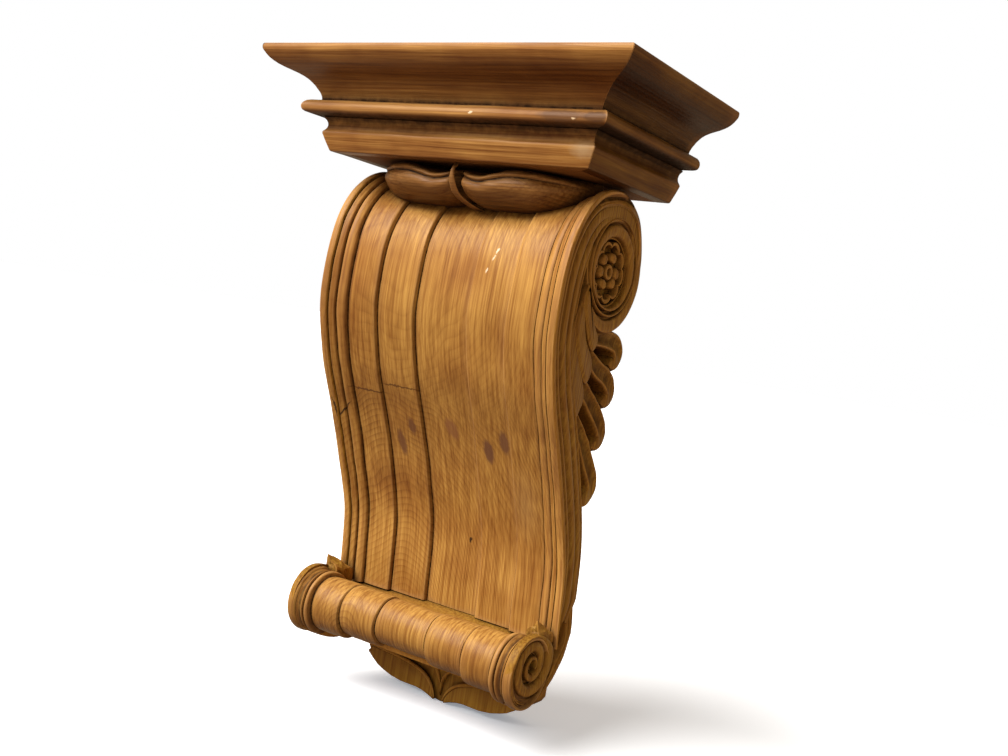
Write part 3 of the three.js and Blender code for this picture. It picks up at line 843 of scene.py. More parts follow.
@dataclass
class Cornice:
    """The mitred cap: one moulding on three sides of a board."""

    slot: str = "cornice_wood"
    profile: tuple[Pair, ...] = (
        (1.2, 0.0), (0.2, 0.5), (-0.6, 1.4), (-0.9, 3.2), (-0.7, 5.4), (0.1, 7.2), (1.3, 8.8),
        (3.0, 11.0), (5.2, 13.3), (8.4, 15.7), (12.3, 17.8), (17.4, 19.9), (22.6, 21.6),
        (27.6, 23.3), (32.3, 25.4), (35.6, 27.5), (38.3, 29.9), (40.9, 32.6), (43.0, 35.6),
        (45.0, 38.4), (46.2, 41.0), (47.0, 43.6), (47.2, 45.6), (45.6, 46.6), (42.8, 47.0),
        (39.4, 47.6), (36.6, 48.8), (34.6, 50.6), (33.2, 52.8), (32.7, 55.2), (33.0, 57.6),
        (34.2, 59.6), (36.2, 60.8), (39.2, 61.3), (43.0, 61.5), (46.5, 61.6), (50.5, 61.7),
        (51.5, 62.4), (50.0, 63.0), (52.8, 65.6), (54.0, 68.0), (54.4, 71.0), (53.8, 73.6),
        (52.8, 75.4), (51.6, 76.8), (50.9, 78.2), (51.0, 79.6), (52.4, 83.0), (54.2, 87.2), (56.4, 91.8),
        (57.8, 94.8), (58.4, 95.9), (59.4, 96.4), (61.0, 96.5),
    )

    # Rows of (distance down, dirt and painted shade there): the corners above and below the bead, with a
    # painted shadow line under it
    grime_and_shade: tuple[Pair, ...] = (
        (0.0, 0.0), (36.0, 0.0), (42.0, 0.45), (45.6, 1.0), (46.8, 0.8), (48.8, 0.1), (58.0, 0.0),
        (60.8, 0.5), (61.6, 1.0), (63.0, 1.0), (66.0, 0.8), (71.0, 0.5), (75.0, 0.2), (77.0, 0.0),
        (97.0, 0.0),
    )

    def section(self) -> list[Pair]:
        """Close the profile round the hidden back."""
        back = MOULDING_THICKNESS
        return [*self.profile, (back, CORNICE_HEIGHT), (back, 0.0)]

    def dirt_and_shade(self) -> list[float]:
        """Give the dirt and painted shade along the section's points."""
        return [max(through(self.grime_and_shade, down), 0.0) for _, down in self.section()]

    def build(self) -> None:
        """Build the three mouldings and the board."""
        self.build_front()
        for side, node in ((1, "cornice_right_return"), (-1, "cornice_left_return")):
            self.build_return(side, node)
        self.build_board()

    def build_front(self) -> None:
        """Sweep the front moulding between its two mitres."""

        def place(inward: float, down: float, t: float) -> Vector:
            """Set a point of the front run."""
            end = CORNICE_WIDTH / 2 - inward - FIT_GAP / 2
            at = Vector((-end * cos(t * pi), inward - CORNICE_DEPTH, TOP_Z - down))
            if 0 < down < CORNICE_HEIGHT and inward < MOULDING_THICKNESS:
                at.y += hand(at, 50, 0.7) + 0.3
                at.z += hand(at + Vector((0, 0, 90)), 40, 0.5)
            return at

        bm = sweep(self.section(), 46, place, grime_and_shade=self.dirt_and_shade())
        settle(bm, "cornice_front_moulding", "cornice_front", self.slot, CORNICE_PINE)

    def build_return(self, side: int, node: str) -> None:
        """Sweep one return from the wall to its mitre.

        Args:
            side: 1 on the right, -1 on the left.
            node: The CAD node that it stands for.
        """

        def place(inward: float, down: float, t: float) -> Vector:
            """Set a point of the return."""
            mitre = inward - CORNICE_DEPTH + FIT_GAP / 2
            at = Vector((side * (CORNICE_WIDTH / 2 - inward), mitre * sin(t * pi / 2), TOP_Z - down))
            if 0 < down < CORNICE_HEIGHT and inward < MOULDING_THICKNESS:
                at.x -= side * (hand(at, 50, 0.7) + 0.3)
                at.z += hand(at + Vector((0, 0, 90)), 40, 0.5)
            return at

        bm = sweep(self.section(), 24, place, grime_and_shade=self.dirt_and_shade())
        settle(bm, node + "_moulding", node, self.slot, SHADED_RETURN_PINE)

    def build_board(self) -> None:
        """Make the board that closes the top and the soffit."""
        half = CORNICE_WIDTH / 2 - MOULDING_THICKNESS - FIT_GAP
        depth = CORNICE_DEPTH - MOULDING_THICKNESS - FIT_GAP
        bm = bmesh.new()
        bmesh.ops.create_cube(bm, size=1.0)
        bmesh.ops.scale(bm, vec=(2 * half, depth, CORNICE_HEIGHT), verts=bm.verts)
        bmesh.ops.translate(bm, vec=(0, -depth / 2, TOP_Z - CORNICE_HEIGHT / 2), verts=bm.verts)
        bmesh.ops.bevel(
            bm, geom=bm.edges[:], offset=0.6, offset_type="OFFSET", segments=2, profile=0.5,
            affect="EDGES", material=-1,
        )
        settle(bm, "soffit_board", "cornice_board", "board_wood", BOARD_PINE)


# Necking


@dataclass
class Necking:
    """Two rolled leaf lobes and a stem under the soffit."""

    node: str = "leaf_necking"
    slot: str = "necking_wood"
    half_width: float = 124.0
    back: float = 84.0
    tuck: float = 6.0
    # Rows of (x, value): the lobe's front, its lowest point and the height of its upper edge
    front: tuple[Pair, ...] = (
        (0, 155), (8, 160), (30, 163), (60, 162), (85, 156), (104, 142), (115, 127), (121, 110),
        (124, 90),
    )
    bottom: tuple[Pair, ...] = (
        (0, 126), (8, 131), (20, 135.5), (50, 137), (85, 135.5), (98, 132), (110, 126), (118, 119),
        (124, 107),
    )
    crest: tuple[Pair, ...] = (
        (0, 100), (8, 103), (20, 106.5), (30, 107), (45, 103), (62, 99), (85, 99), (105, 101),
        (124, 104),
    )
    # Shares of (depth from the back to the front, height from the crest to the bottom)
    section: tuple[Pair, ...] = (
        (0.0, -0.1), (0.35, -0.12), (0.6, -0.1), (0.8, -0.04), (0.9, 0.0), (0.945, 0.04),
        (0.972, 0.09), (0.98, 0.14), (0.97, 0.18), (0.955, 0.21), (0.962, 0.25), (0.985, 0.31),
        (0.995, 0.38), (0.995, 0.46), (0.98, 0.54), (0.935, 0.64), (0.89, 0.74), (0.82, 0.84),
        (0.73, 0.92), (0.6, 0.98), (0.45, 1.0), (0.2, 1.0), (0.0, 1.0),
    )

    def build(self) -> None:
        """Build both lobes and the stem."""

        def place(a: float, b: float, t: float) -> Vector:
            """Set a point of the right lobe."""
            x = mix(0.6, self.half_width, t)
            crest, bottom = through(self.crest, x), through(self.bottom, x)
            down = mix(crest, bottom, b)
            if b <= 0:
                down = mix(crest, CORNICE_HEIGHT + FIT_GAP, min(1.0, -b * 8))
            y = -mix(self.back, through(self.front, x), a)
            at = Vector((x, y, TOP_Z - down))
            if a > 0.3:
                at.y += hand(at, 16, 0.9)
            at.y += self.tuck * (1.0 - ease(x, 0.6, 9.0)) * ease(a, 0.3, 0.9)
            at.z = min(at.z, SOFFIT_Z - FIT_GAP)
            return at

        bm = sweep(self.section, 60, place)
        add_mirrored(bm)
        settle(bm, "necking_lobes", self.node, self.slot, NECKING_PINE)
        settle(self.stem(), "necking_stem", self.node, self.slot, NECKING_PINE)

    def stem(self) -> bmesh.types.BMesh:
        """Make the bent stem between the lobes.

        Returns:
            The stem as a mesh in mm.
        """
        path = Track([
            Vector((-157, 98.5)), Vector((-162, 104)), Vector((-161, 114)), Vector((-151, 126)),
            Vector((-132, 134)), Vector((-112, 136)),
        ])
        section = [(cos(i / 12 * tau) * 4.4, sin(i / 12 * tau) * 2.0) for i in range(12)]

        def place(a: float, b: float, t: float) -> Vector:
            """Set a point of the stem, slim above, broad and bent aside at its foot."""
            at = path.aside(t, b - 1.0)
            wide = 0.3 + 0.6 * ease(t, 0.0, 0.35) - 0.45 * ease(t, 0.7, 1.0)
            shift = -2.0 + 13.0 * ease(t, 0.3, 1.0)
            return Vector((a * wide + shift, at.x, TOP_Z - at.y))

        return sweep(section, 26, place)


# Strap


STRAP_BORDER = (
    (118.2, -7.6), (119.2, -6.4), (121.5, -5.4), (124.5, -4.8), (126.6, -5.2), (127.8, -6.2),
    (128.2, -8.2), (129.0, -8.2), (129.4, -4.6), (130.4, -3.6), (132.0, -3.2), (134.4, -2.8),
    (135.2, -2.6), (135.7, -3.8), (136.3, -3.8), (136.7, -1.8), (137.6, -0.8), (139.6, 0.0),
    (142.6, 0.0), (144.9, -0.6), (145.8, -1.9),
)
ROLL_BORDER = (
    (118.7, -3.3), (119.6, -2.2), (121.4, -1.8), (123.0, -2.2), (123.9, -3.4), (124.5, -6.8),
    (125.2, -6.8), (125.7, -3.0), (126.5, -1.7), (127.5, -2.2), (128.8, -3.5), (131.2, -4.3),
    (133.4, -3.4), (134.4, -2.1), (134.9, -3.3), (135.5, -1.8), (136.8, -0.5), (139.0, 0.0),
    (142.6, 0.0), (144.9, -0.6), (145.4, -2.4),
)


def band_face(outer: float, inner: float, middle: float, border: Sequence[Pair]) -> list[Pair]:
    """Give the strap's face from the middle to the corner, as (x, lift).

    Args:
        outer: Level of the band beside the border.
        inner: Level of the band within it.
        middle: Level of the middle band.
        border: Rows of the border's moulding.

    Returns:
        The section's points over half the width.
    """
    return [
        (0, middle + 0.4), (12, middle + 0.3), (24, middle + 0.1), (31.6, middle - 0.1),
        (32.3, middle - 1.0), (32.8, middle - 1.0), (33.3, middle + 0.6), (33.8, inner - 1.2),
        (34.6, inner - 0.3), (36.4, inner), (46, inner + 0.2), (58, inner + 0.2), (70, inner),
        (78.8, inner - 0.1), (79.5, inner - 1.0), (80.0, inner - 1.0), (80.5, inner + 0.6),
        (81.0, outer - 1.2), (81.8, outer - 0.3), (83.6, outer), (92, outer + 0.2),
        (104, outer + 0.2), (113.5, outer), (115.8, outer - 0.3), (116.7, outer - 1.7),
        (117.5, outer - 1.7), *border,
    ]


# Rows of (x, dirt and painted shade) across the strap: at the bands' steps and in the border's grooves
BAND_GRIME_AND_SHADE = (
    (0.0, 0.0), (31.6, 0.0), (32.3, 0.45), (32.8, 0.6), (33.3, 0.2), (33.8, 0.5), (34.6, 0.0),
    (36.4, 0.0), (78.8, 0.0), (79.5, 0.45), (80.0, 0.6), (80.5, 0.2), (81.0, 0.5), (81.8, 0.0),
    (83.6, 0.0), (113.5, 0.0), (115.8, 0.2), (116.7, 0.8), (117.5, 0.8),
)
STRAP_GRIME_AND_SHADE = (
    *BAND_GRIME_AND_SHADE, (118.2, 0.4), (119.2, 0.0), (126.6, 0.0), (127.8, 0.4), (128.2, 0.85),
    (129.0, 0.85), (129.4, 0.3), (130.4, 0.0), (134.4, 0.05), (135.2, 0.2), (135.7, 0.75),
    (136.3, 0.75), (136.7, 0.2), (137.6, 0.0), (150.0, 0.0),
)
ROLL_GRIME_AND_SHADE = (
    *BAND_GRIME_AND_SHADE, (118.7, 0.3), (119.6, 0.0), (123.0, 0.05), (123.9, 0.35), (124.5, 0.8),
    (125.2, 0.8), (125.7, 0.2), (126.5, 0.0), (131.2, 0.1), (134.4, 0.1), (134.9, 0.7),
    (135.5, 0.1), (136.8, 0.0), (150.0, 0.0),
)

STRAP_FRONT = Track([
    side_point(out, down) for out, down in (
        (2, 160), (8, 100), (34, 44), (72, 18), (112, 9), (152, 10), (191, 19), (226, 40),
        (259, 77), (283, 133), (292, 209), (288, 285), (258, 380), (212, 475), (169, 570),
        (133, 665), (120, 760), (114, 817),
    )
])


@dataclass
class Strap:
    """The S-shaped strap: stepped bands between moulded borders, and its moulded edges."""

    node: str = "scroll_body"
    slot: str = "scroll_wood"
    thickness: float = 50.0
    steps: int = 170
    border_rise: float = 3.0
    head_inset: float = 4.5
    foot_inset: float = 3.0
    rear_x: float = 112.0
    side_x: float = 134.0
    # Rows of (share of the edge's width, x on the bulge, x round the volute)
    edge: tuple[Triple, ...] = (
        (0.055, 145.6, 144.6), (0.09, 142.0, 141.5), (0.14, 138.6, 137.4), (0.19, 136.6, 136.2),
        (0.245, 136.3, 137.4), (0.275, 137.8, 139.2), (0.31, 139.6, 139.4), (0.345, 139.6, 138.2),
        (0.375, 137.8, 137.6), (0.4, 136.2, 137.5), (0.43, 137.2, 137.5), (0.48, 139.4, 137.6),
        (0.54, 140.0, 137.6), (0.6, 139.3, 137.6), (0.64, 137.6, 137.6), (0.665, 136.0, 137.6),
        (0.69, 137.2, 137.6), (0.74, 138.8, 137.5), (0.8, 138.8, 137.5), (0.85, 137.0, 136.4),
        (0.875, 135.6, 134.2), (0.9, 136.4, 133.0), (0.94, 137.0, 132.6), (0.975, 136.0, 132.4),
        (1.0, 133.0, 132.0),
    )

    def edge_share(self, t: float) -> float:
        """Give the edge's width as a share: slim round the volute, full on the bulge."""
        foot = 0.06 * ease(t, 0.8, 0.93) + 0.34 * ease(t, 0.93, 1.0)
        return 0.5 + 0.5 * ease(t, 0.09, 0.36) + 0.04 * ease(t, 0.5, 0.65) - foot

    def build(self) -> None:
        """Build the strap's face and edges as one sweep."""
        face = band_face(-9.5, -13.8, -18.0, STRAP_BORDER)
        marks = [(x, lift, -1.0) for x, lift in face]
        marks += [(bulge, 0.0, part) for part, bulge, _ in self.edge]
        marks += [(self.rear_x, -self.thickness, 2.0)]
        half = [(float(i), 1.0) for i in range(len(marks))]
        other = [(float(i), -1.0) for i in range(len(marks) - 1, 0, -1)]
        slim = {part: flat for part, _, flat in self.edge}

        def place(index: float, side: float, t: float) -> Vector:
            """Set one of the section's points."""
            x, lift, part = marks[int(index)]
            wide = self.thickness * self.edge_share(t)
            if part >= 0:
                lift = -wide * min(part, 1.0)
            if 0 <= part <= 1:
                x = mix(slim[part], x, ease(t, 0.16, 0.4))
            wall_side = 1.0 - ease(t, 0.12, 0.24)
            if part < 0:
                rise = self.border_rise * ease(t, 0.12, 0.26) * (1.0 - ease(t, 0.78, 0.95))
                lift += rise * min(max((x - 119) / 20, 0.0), 1.0)
                x -= max(x - HALF_CORE, 0.0) * 0.26 * wall_side
            elif part < 0.3:
                x = mix(x, mix(136.6, 137.5, part / 0.3), wall_side)
                lift *= 1.0 - 0.6 * wall_side
            if part >= 0.3:
                x -= self.head_inset * (1.0 - ease(t, 0.0, 0.075)) if x > 120 else 0.0
            if part > 0.05:
                x -= self.foot_inset * ease(t, 0.93, 0.99) if x > 120 else 0.0
            if 110 < x < 143 and part < 0:
                x += 0.5 * noise.noise(Vector((x / 8, t * 26, side)))
            if x < 123:
                x += min(x / 30, 1.0) * 1.6 * noise.noise(Vector((x / 50, t * 7, side * 3)))
            at = STRAP_FRONT.aside(t, lift)
            if part < 0:
                uneven = noise.noise(Vector((side * x / 22, t * 18, 4.0))) * 0.7
                at = STRAP_FRONT.aside(t, lift + uneven - 0.3)
            return Vector((side * x, min(at.x, -0.2), at.y))

        bm = sweep(half + other, self.steps, place, grime_and_shade=[
            max(through(STRAP_GRIME_AND_SHADE, marks[int(i)][0]), 0.0) if marks[int(i)][2] < 0 else 0.0
            for i, _ in half + other
        ])
        piece = settle(bm, "strap", self.node, self.slot, SCROLL_PINE)
        piece.data.materials.append(
            bpy.data.materials.get(SIDE_PINE.name) or SIDE_PINE.material()
        )
        for polygon in piece.data.polygons:
            if abs(polygon.center.x) / MM > self.side_x and abs(polygon.normal.x) > 0.6:
                polygon.material_index = 1


# Roll and its ends


@dataclass
class FrontRoll:
    """The banded roll at the strap's foot, and the spiral at each of its ends."""

    node: str = "scroll_body"
    slot: str = "scroll_wood"
    axis: Pair = (-107.1, 577.0)
    radius: float = 36.3
    eye: Pair = (-103.8, 569.5)
    first_width: float = 30.0
    foot_inset: float = 3.0
    rear_x: float = 112.0
    floor_x: float = 138.0
    # Rows of (turn in degrees from the wall side downwards, radius round the eye)
    wind: tuple[Pair, ...] = (
        (-30, 97), (-12, 85), (3, 76), (29, 63), (58, 51.5), (94, 44.6), (130, 42), (169, 40),
        (215, 35.5), (264, 31), (290, 31), (310, 33), (335, 38), (348, 40), (375, 38), (405, 35),
        (450, 32), (540, 30), (630, 25.5), (720, 20.5), (810, 16.5), (900, 13.5), (990, 10.5),
        (1080, 7.5), (1170, 4.5),
    )
    # Rows of (share from the outer to the inner side of the strand, x at its start, x further in)
    strand: tuple[Triple, ...] = (
        (0.0, 112.0, 112.0), (0.0, 133.0, 139.0), (0.02, 135.4, 141.6), (0.06, 136.8, 143.6),
        (0.12, 137.0, 144.8), (0.17, 136.0, 145.3), (0.2, 137.4, 145.5), (0.28, 139.0, 145.8),
        (0.36, 138.0, 145.9), (0.4, 136.4, 145.9), (0.44, 138.0, 145.9), (0.52, 139.6, 145.8),
        (0.6, 138.8, 145.7), (0.64, 136.8, 145.5), (0.68, 138.4, 145.2), (0.74, 139.4, 144.8),
        (0.8, 137.0, 144.2), (0.86, 137.0, 143.0), (0.91, 140.0, 141.6), (0.95, 144.0, 140.0),
        (0.985, 145.4, 138.6), (1.0, 145.0, 137.0), (1.0, 112.0, 112.0),
    )

    def build(self) -> None:
        """Build the roll, then the spiral ends."""
        self.build_roll()
        self.build_ends()

    def build_roll(self) -> None:
        """Turn the banded face round the roll's axis."""
        face = band_face(-6.7, -9.5, -12.1, ROLL_BORDER)
        closing = [(142.0, -5.0), (141.0, -20.0)]
        outline = [*face, *closing]
        whole = [(-x, lift) for x, lift in reversed(outline[1:])] + outline

        def place(x: float, lift: float, t: float) -> Vector:
            """Set a point of the roll."""
            turn = t * tau
            radius = self.radius + lift
            raised = 3.8 * ease(-lift, 5.0, 12.0)
            sway = 0.9 * noise.noise(Vector((x / 40, cos(turn), sin(turn))))
            uneven = 0.5 * noise.noise(Vector((x / 20, cos(turn) * 2, sin(turn) * 2 + 5)))
            y = self.axis[0] + (radius + uneven) * cos(turn)
            z = TOP_Z - self.axis[1] + (radius + uneven) * sin(turn) + raised
            return Vector((x + (sway if abs(x) < 120 else 0.2 * sway), y, z))

        bm = sweep(whole, 96, place, closed=False, grime_and_shade=[
            max(through(ROLL_GRIME_AND_SHADE, abs(x)), 0.0) for x, _ in whole
        ])
        ends = [edge for edge in bm.edges if edge.is_boundary and abs(edge.verts[0].co.x) > 140]
        for side in (-1, 1):
            rim = [edge for edge in ends if edge.verts[0].co.x * side > 0]
            bmesh.ops.edgeloop_fill(bm, edges=[e for e in rim if e.is_boundary])
        settle(bm, "roll", self.node, self.slot, SCROLL_PINE)

    def build_ends(self) -> None:
        """Wind the strap's edge round the heel and into the eye, at both ends."""
        start, stop = -30.0, 1120.0

        def place(index: float, _unused: float, t: float) -> Vector:
            """Set a point of the strand."""
            share, first, later = self.strand[int(index)]
            turn = mix(start, stop, t)
            outer = through(self.wind, turn)
            inner = through(self.wind, turn + 360) + 1.5 if turn < 800 else outer * 0.45
            inner = mix(outer - self.first_width, inner, ease(turn, -8, 8))
            radius = mix(outer, min(inner, outer - 1.0), share)
            x = mix(first, later, ease(turn, 30, 170))
            x -= self.foot_inset * (1.0 - ease(turn, start, -14.0)) if x > 120 else 0.0
            if first < 113:
                x = mix(self.rear_x, self.floor_x, ease(turn, 70, 140))
            elif turn > 180:
                radius = min(radius, outer - 0.6 * ease(turn, 180, 230))
            angle = radians(turn)
            y = self.eye[0] + radius * cos(angle)
            z = TOP_Z - self.eye[1] - radius * sin(angle)
            at = Vector((x, min(y, -0.2), z))
            if x > 120:
                at.x += hand(at, 12, 0.5)
            return at

        outline = [(float(i), 0.0) for i in range(len(self.strand))]
        bm = sweep(outline, 210, place)
        # The spiral's ground closes the roll's end behind the strand
        bmesh.ops.create_cone(
            bm, cap_ends=True, segments=40, radius1=25, radius2=25, depth=20,
            matrix=Matrix.Translation((128.5, self.eye[0], TOP_Z - self.eye[1]))
            @ Matrix.Rotation(pi / 2, 4, "Y"),
        )
        add_mirrored(bm)
        settle(bm, "roll_spirals", self.node, self.slot, SIDE_PINE)


# Side volutes


@dataclass
class Volute:
    """The round end of the scroll on each side, with rings and a sunk rosette."""

    node: str = "scroll_body"
    slot: str = "scroll_wood"
    centre: Pair = (-62.4, 178.5)
    # Radii at the top, wall side, bottom and front
    band_outer: tuple[float, ...] = (77.4, 61.9, 61.0, 49.0)
    band_inner: tuple[float, ...] = (56.0, 51.0, 47.0, 45.0)
    rim_outer: tuple[float, ...] = (55.0, 49.0, 45.0, 45.5)
    rim_inner: tuple[float, ...] = (52.0, 46.0, 41.0, 42.0)
    ring_outer: tuple[float, ...] = (48.0, 43.0, 38.7, 41.0)
    ring_inner: tuple[float, ...] = (34.4, 34.4, 35.0, 34.0)
    floor_x: float = 125.0
    well: float = 33.0
    flower_height: float = 8.6
    petals: int = 9
    buds: int = 6

    def radius(self, row: tuple[float, ...], quarter: float) -> float:
        """Read a radius at a quarter turn from the top towards the wall."""
        table = [(float(i), row[i % 4]) for i in range(-2, 7)]
        return through(table, quarter if quarter <= 4 else quarter - 4)

    def spot(self, quarter: float, radius: float, x: float) -> Vector:
        """Give the point at a quarter turn and a radius, x from the middle plane."""
        angle = quarter * pi / 2
        y = self.centre[0] + radius * sin(angle)
        return Vector((x, min(y, -0.2), TOP_Z - self.centre[1] + radius * cos(angle)))

    def ring(self, outer: tuple[float, ...], inner: tuple[float, ...],
             section: Sequence[Pair]) -> bmesh.types.BMesh:
        """Sweep a closed ring round the centre.

        Args:
            outer: Its outer radii at the four quarters.
            inner: Its inner radii.
            section: Rows of (share from the outer to the inner side, x).

        Returns:
            The ring as a mesh in mm.
        """

        def place(share: float, x: float, t: float) -> Vector:
            """Set a point of the ring."""
            quarter = t * 4
            radius = mix(self.radius(outer, quarter), self.radius(inner, quarter), share)
            at = self.spot(quarter, radius, x)
            at.x += hand(at, 15, 0.5) if x > 120 else 0.0
            return at

        return sweep(section, 96, place, capped=False)

    def tail_band(self) -> bmesh.types.BMesh:
        """Carry the strap's edge on from the wall side, under and inwards to a point."""
        section = (
            (0.0, 112.0), (0.0, 134.0), (0.05, 136.2), (0.12, 137.4), (0.3, 137.7), (0.6, 137.6),
            (0.85, 137.2), (0.95, 136.0), (1.0, 133.5), (1.0, 112.0),
        )
        start, stop = 0.6, 3.4

        def place(share: float, x: float, t: float) -> Vector:
            """Set a point of the band."""
            quarter = mix(start, stop, t)
            radius = mix(
                self.radius(self.band_outer, quarter), self.radius(self.band_inner, quarter), share
            )
            early = 1.0 - ease(quarter, start, 1.15)
            radius -= 4.0 * (1.0 - share) * early
            sunk = 3.5 * ease(quarter, 2.6, 3.4) + 0.9 * early
            return self.spot(quarter, radius, x - (sunk if x > 120 else 0))

        return sweep(section, 70, place)

    def dish(self) -> bmesh.types.BMesh:
        """Make the ground between the rings and the rosette's well."""
        section = ((0.0, 108.0), (0.0, 133.0), (1.0, 133.0), (1.0, self.floor_x), (1.0, 108.0))
        ground = self.ring((66.0, 58.0, 50.0, 52.0), (self.well,) * 4, section)
        bmesh.ops.create_circle(
            ground, cap_ends=True, segments=64, radius=self.well + 0.5,
            matrix=Matrix.Translation((self.floor_x, self.centre[0], TOP_Z - self.centre[1]))
            @ Matrix.Rotation(pi / 2, 4, "Y"),
        )
        return ground

    def rosette(self) -> bmesh.types.BMesh:
        """Carve the flower: a scalloped rim, round buds and a pierced eye."""
        rim = [(cos(i / 12 * tau), sin(i / 12 * tau)) for i in range(12)]

        def scallop(a: float, b: float, t: float) -> Vector:
            """Set a point of the scalloped rim."""
            bulge = abs(sin(t * pi * self.petals + 0.4)) ** 0.6
            radius = 25.0 + 4.6 * bulge + a * (2.0 + 0.5 * bulge)
            top = self.flower_height * max(b, 0.0) ** 0.4
            return self.spot(t * 4, radius, self.floor_x + 1.0 + top + 0.5 * sin(t * 17.0))

        flower = sweep(rim, 144, scallop, capped=False)

        def eye(a: float, b: float, t: float) -> Vector:
            """Set a point of the eye's ring."""
            top = 8.4 * max(b, 0.0) ** 0.5
            return self.spot(t * 4, 5.8 + a * 2.6, self.floor_x + 1.5 + top)

        merge_into(flower, sweep(rim, 32, eye, capped=False))
        for i in range(self.buds):
            turn = i * 4 / self.buds + 0.25 + 0.12 * sin(i * 2.3)
            at = self.spot(turn, 15.4 + 0.6 * sin(i * 1.7), self.floor_x)
            swing = Matrix.Rotation(-turn * pi / 2, 4, "X")
            bmesh.ops.create_uvsphere(
                flower, u_segments=20, v_segments=12, radius=1.0,
                matrix=Matrix.Translation(at) @ swing @ Matrix.Diagonal((13.0, 7.2, 6.0, 1)),
            )
        top = self.floor_x + self.flower_height
        for vert in flower.verts:
            if vert.co.x > top:
                vert.co.x = top + (vert.co.x - top) * 0.25
        return flower

    def build(self) -> None:
        """Build the rings, the ground and the flower on both sides."""
        soft = (
            (0.0, 118.0), (0.0, 133.5), (0.06, 135.6), (0.2, 137.6), (0.4, 138.6), (0.6, 138.7),
            (0.8, 137.8), (0.94, 135.8), (1.0, 133.5), (1.0, 118.0),
        )
        broad = (
            (0.0, 118.0), (0.0, 134.0), (0.04, 136.2), (0.12, 138.0), (0.25, 138.9), (0.45, 138.9),
            (0.7, 138.3), (0.86, 137.4), (0.95, 135.8), (1.0, 133.0), (1.0, 118.0),
        )
        rings = merge_into(
            self.ring(self.rim_outer, self.rim_inner, soft),
            self.ring(self.ring_outer, self.ring_inner, broad), self.tail_band(), self.dish(),
        )
        add_mirrored(rings)
        settle(rings, "volute_rings", self.node, self.slot, SIDE_PINE)
        flower = self.rosette()
        add_mirrored(flower)
        settle(flower, "rosettes", self.node, self.slot, SIDE_PINE)


# Side leaves


@dataclass
class SideLeaves:
    """Four curled fingers and three lapped blades on each side, below the volute."""

    node: str = "scroll_body"
    slot: str = "scroll_wood"
    face: float = 134.0
    blade_face: float = 135.4
    blade_lap: float = 1.8
    # Each finger: its line in thousandths, and its width along it
    fingers: tuple[tuple[tuple[Pair, ...], tuple[float, ...]], ...] = (
        (((133, 262), (80, 261), (39, 267), (20, 285), (26, 302), (44, 307)),
         (31, 34, 36, 37, 35, 30)),
        (((141, 291), (88, 317), (51, 331), (26, 353), (32, 371), (51, 378)),
         (31, 34, 36, 37, 35, 30)),
        (((150, 341), (102, 373), (64, 401), (35, 431), (39, 449), (59, 460)),
         (29, 34, 37, 37, 35, 29)),
        (((150, 403), (110, 438), (73, 481), (39, 523), (44, 549), (73, 565)),
         (27, 32, 36, 37, 35, 28)),
    )
    blades: tuple[tuple[Pair, ...], ...] = (
        ((190, 175), (170, 204), (152, 229), (131, 248), (117, 262), (120, 278), (133, 287),
         (152, 275), (176, 245), (200, 205)),
        ((196, 195), (166, 259), (145, 280), (120, 303), (117, 328), (133, 345), (160, 325),
         (190, 290), (212, 241)),
        ((206, 225), (173, 290), (152, 322), (132, 349), (122, 372), (131, 391), (148, 409),
         (180, 380), (205, 316), (222, 262)),
    )
    hollows: tuple[Pair, ...] = ((88, 294), (84, 355), (98, 432), (108, 515))
    # Rows of (share across, x below the face)
    section: tuple[Pair, ...] = (
        (-0.5, 26.0), (-0.5, 6.5), (-0.49, 3.6), (-0.46, 1.4), (-0.41, 0.3), (-0.36, 0.0),
        (-0.31, 0.5), (-0.24, 2.2), (-0.12, 3.8), (0.0, 4.4), (0.12, 4.0), (0.24, 2.6),
        (0.31, 0.9), (0.36, 0.1), (0.41, 0.3), (0.46, 1.5), (0.49, 3.8), (0.5, 6.5), (0.5, 26.0),
    )

    def finger(self, line: tuple[Pair, ...], widths: tuple[float, ...]) -> bmesh.types.BMesh:
        """Sweep one curled finger.

        Args:
            line: Its middle line in thousandths.
            widths: Its widths along the line, in thousandths.

        Returns:
            The finger as a mesh in mm.
        """
        track = Track([side_point(*point) for point in line])
        table = [(i / (len(widths) - 1), width) for i, width in enumerate(widths)]

        def place(across: float, below: float, t: float) -> Vector:
            """Set a point of the finger."""
            width = through(table, t) * SCROLL_HEIGHT / 1000
            tip = max(t - 0.86, 0.0) / 0.14
            width *= max(1.0 - tip**2.2, 0.0) ** 0.5
            at = track.aside(t, across * width)
            bulb = ease(t, 0.62, 0.95)
            round_top = 7.0 * (2 * across) ** 4
            depth = below if below > 20 else mix(below, round_top + 0.6, bulb)
            depth += 3.0 * tip**2 if below <= 20 else 0.0
            spot = Vector((self.face - depth, min(at.x, -0.4), at.y))
            spot.x += hand(spot, 12, 0.6) if below <= 20 else 0.0
            return spot

        return sweep(self.section, 54, place)

    def build(self) -> None:
        """Build the leaves of both sides."""
        leaves = bmesh.new()
        for line, widths in self.fingers:
            merge_into(leaves, self.finger(line, widths))
        for order, outline in enumerate(self.blades):
            track = Track([side_point(*point) for point in (*outline, outline[0])])
            points = [track.at(i / 40) for i in range(40)]
            face = self.blade_face + (len(self.blades) - 1 - order) * self.blade_lap
            blade = plate(points, HALF_CORE - 4, face - 1.2, 1.6, 1.2)
            for vert in blade.verts:
                if vert.co.x > 118:
                    vert.co.x += min(max((-vert.co.y - 82) * 0.1, -1.5), 2.6)
            merge_into(leaves, blade)
        for out, down in self.hollows:
            at = side_point(out, down)
            bmesh.ops.create_uvsphere(
                leaves, u_segments=20, v_segments=12, radius=1.0,
                matrix=Matrix.Translation((114, at.x, at.y)) @ Matrix.Diagonal((11, 10, 8, 1)),
            )
        add_mirrored(leaves)
        settle(leaves, "side_leaves", self.node, self.slot, SIDE_PINE)


# Core and tail


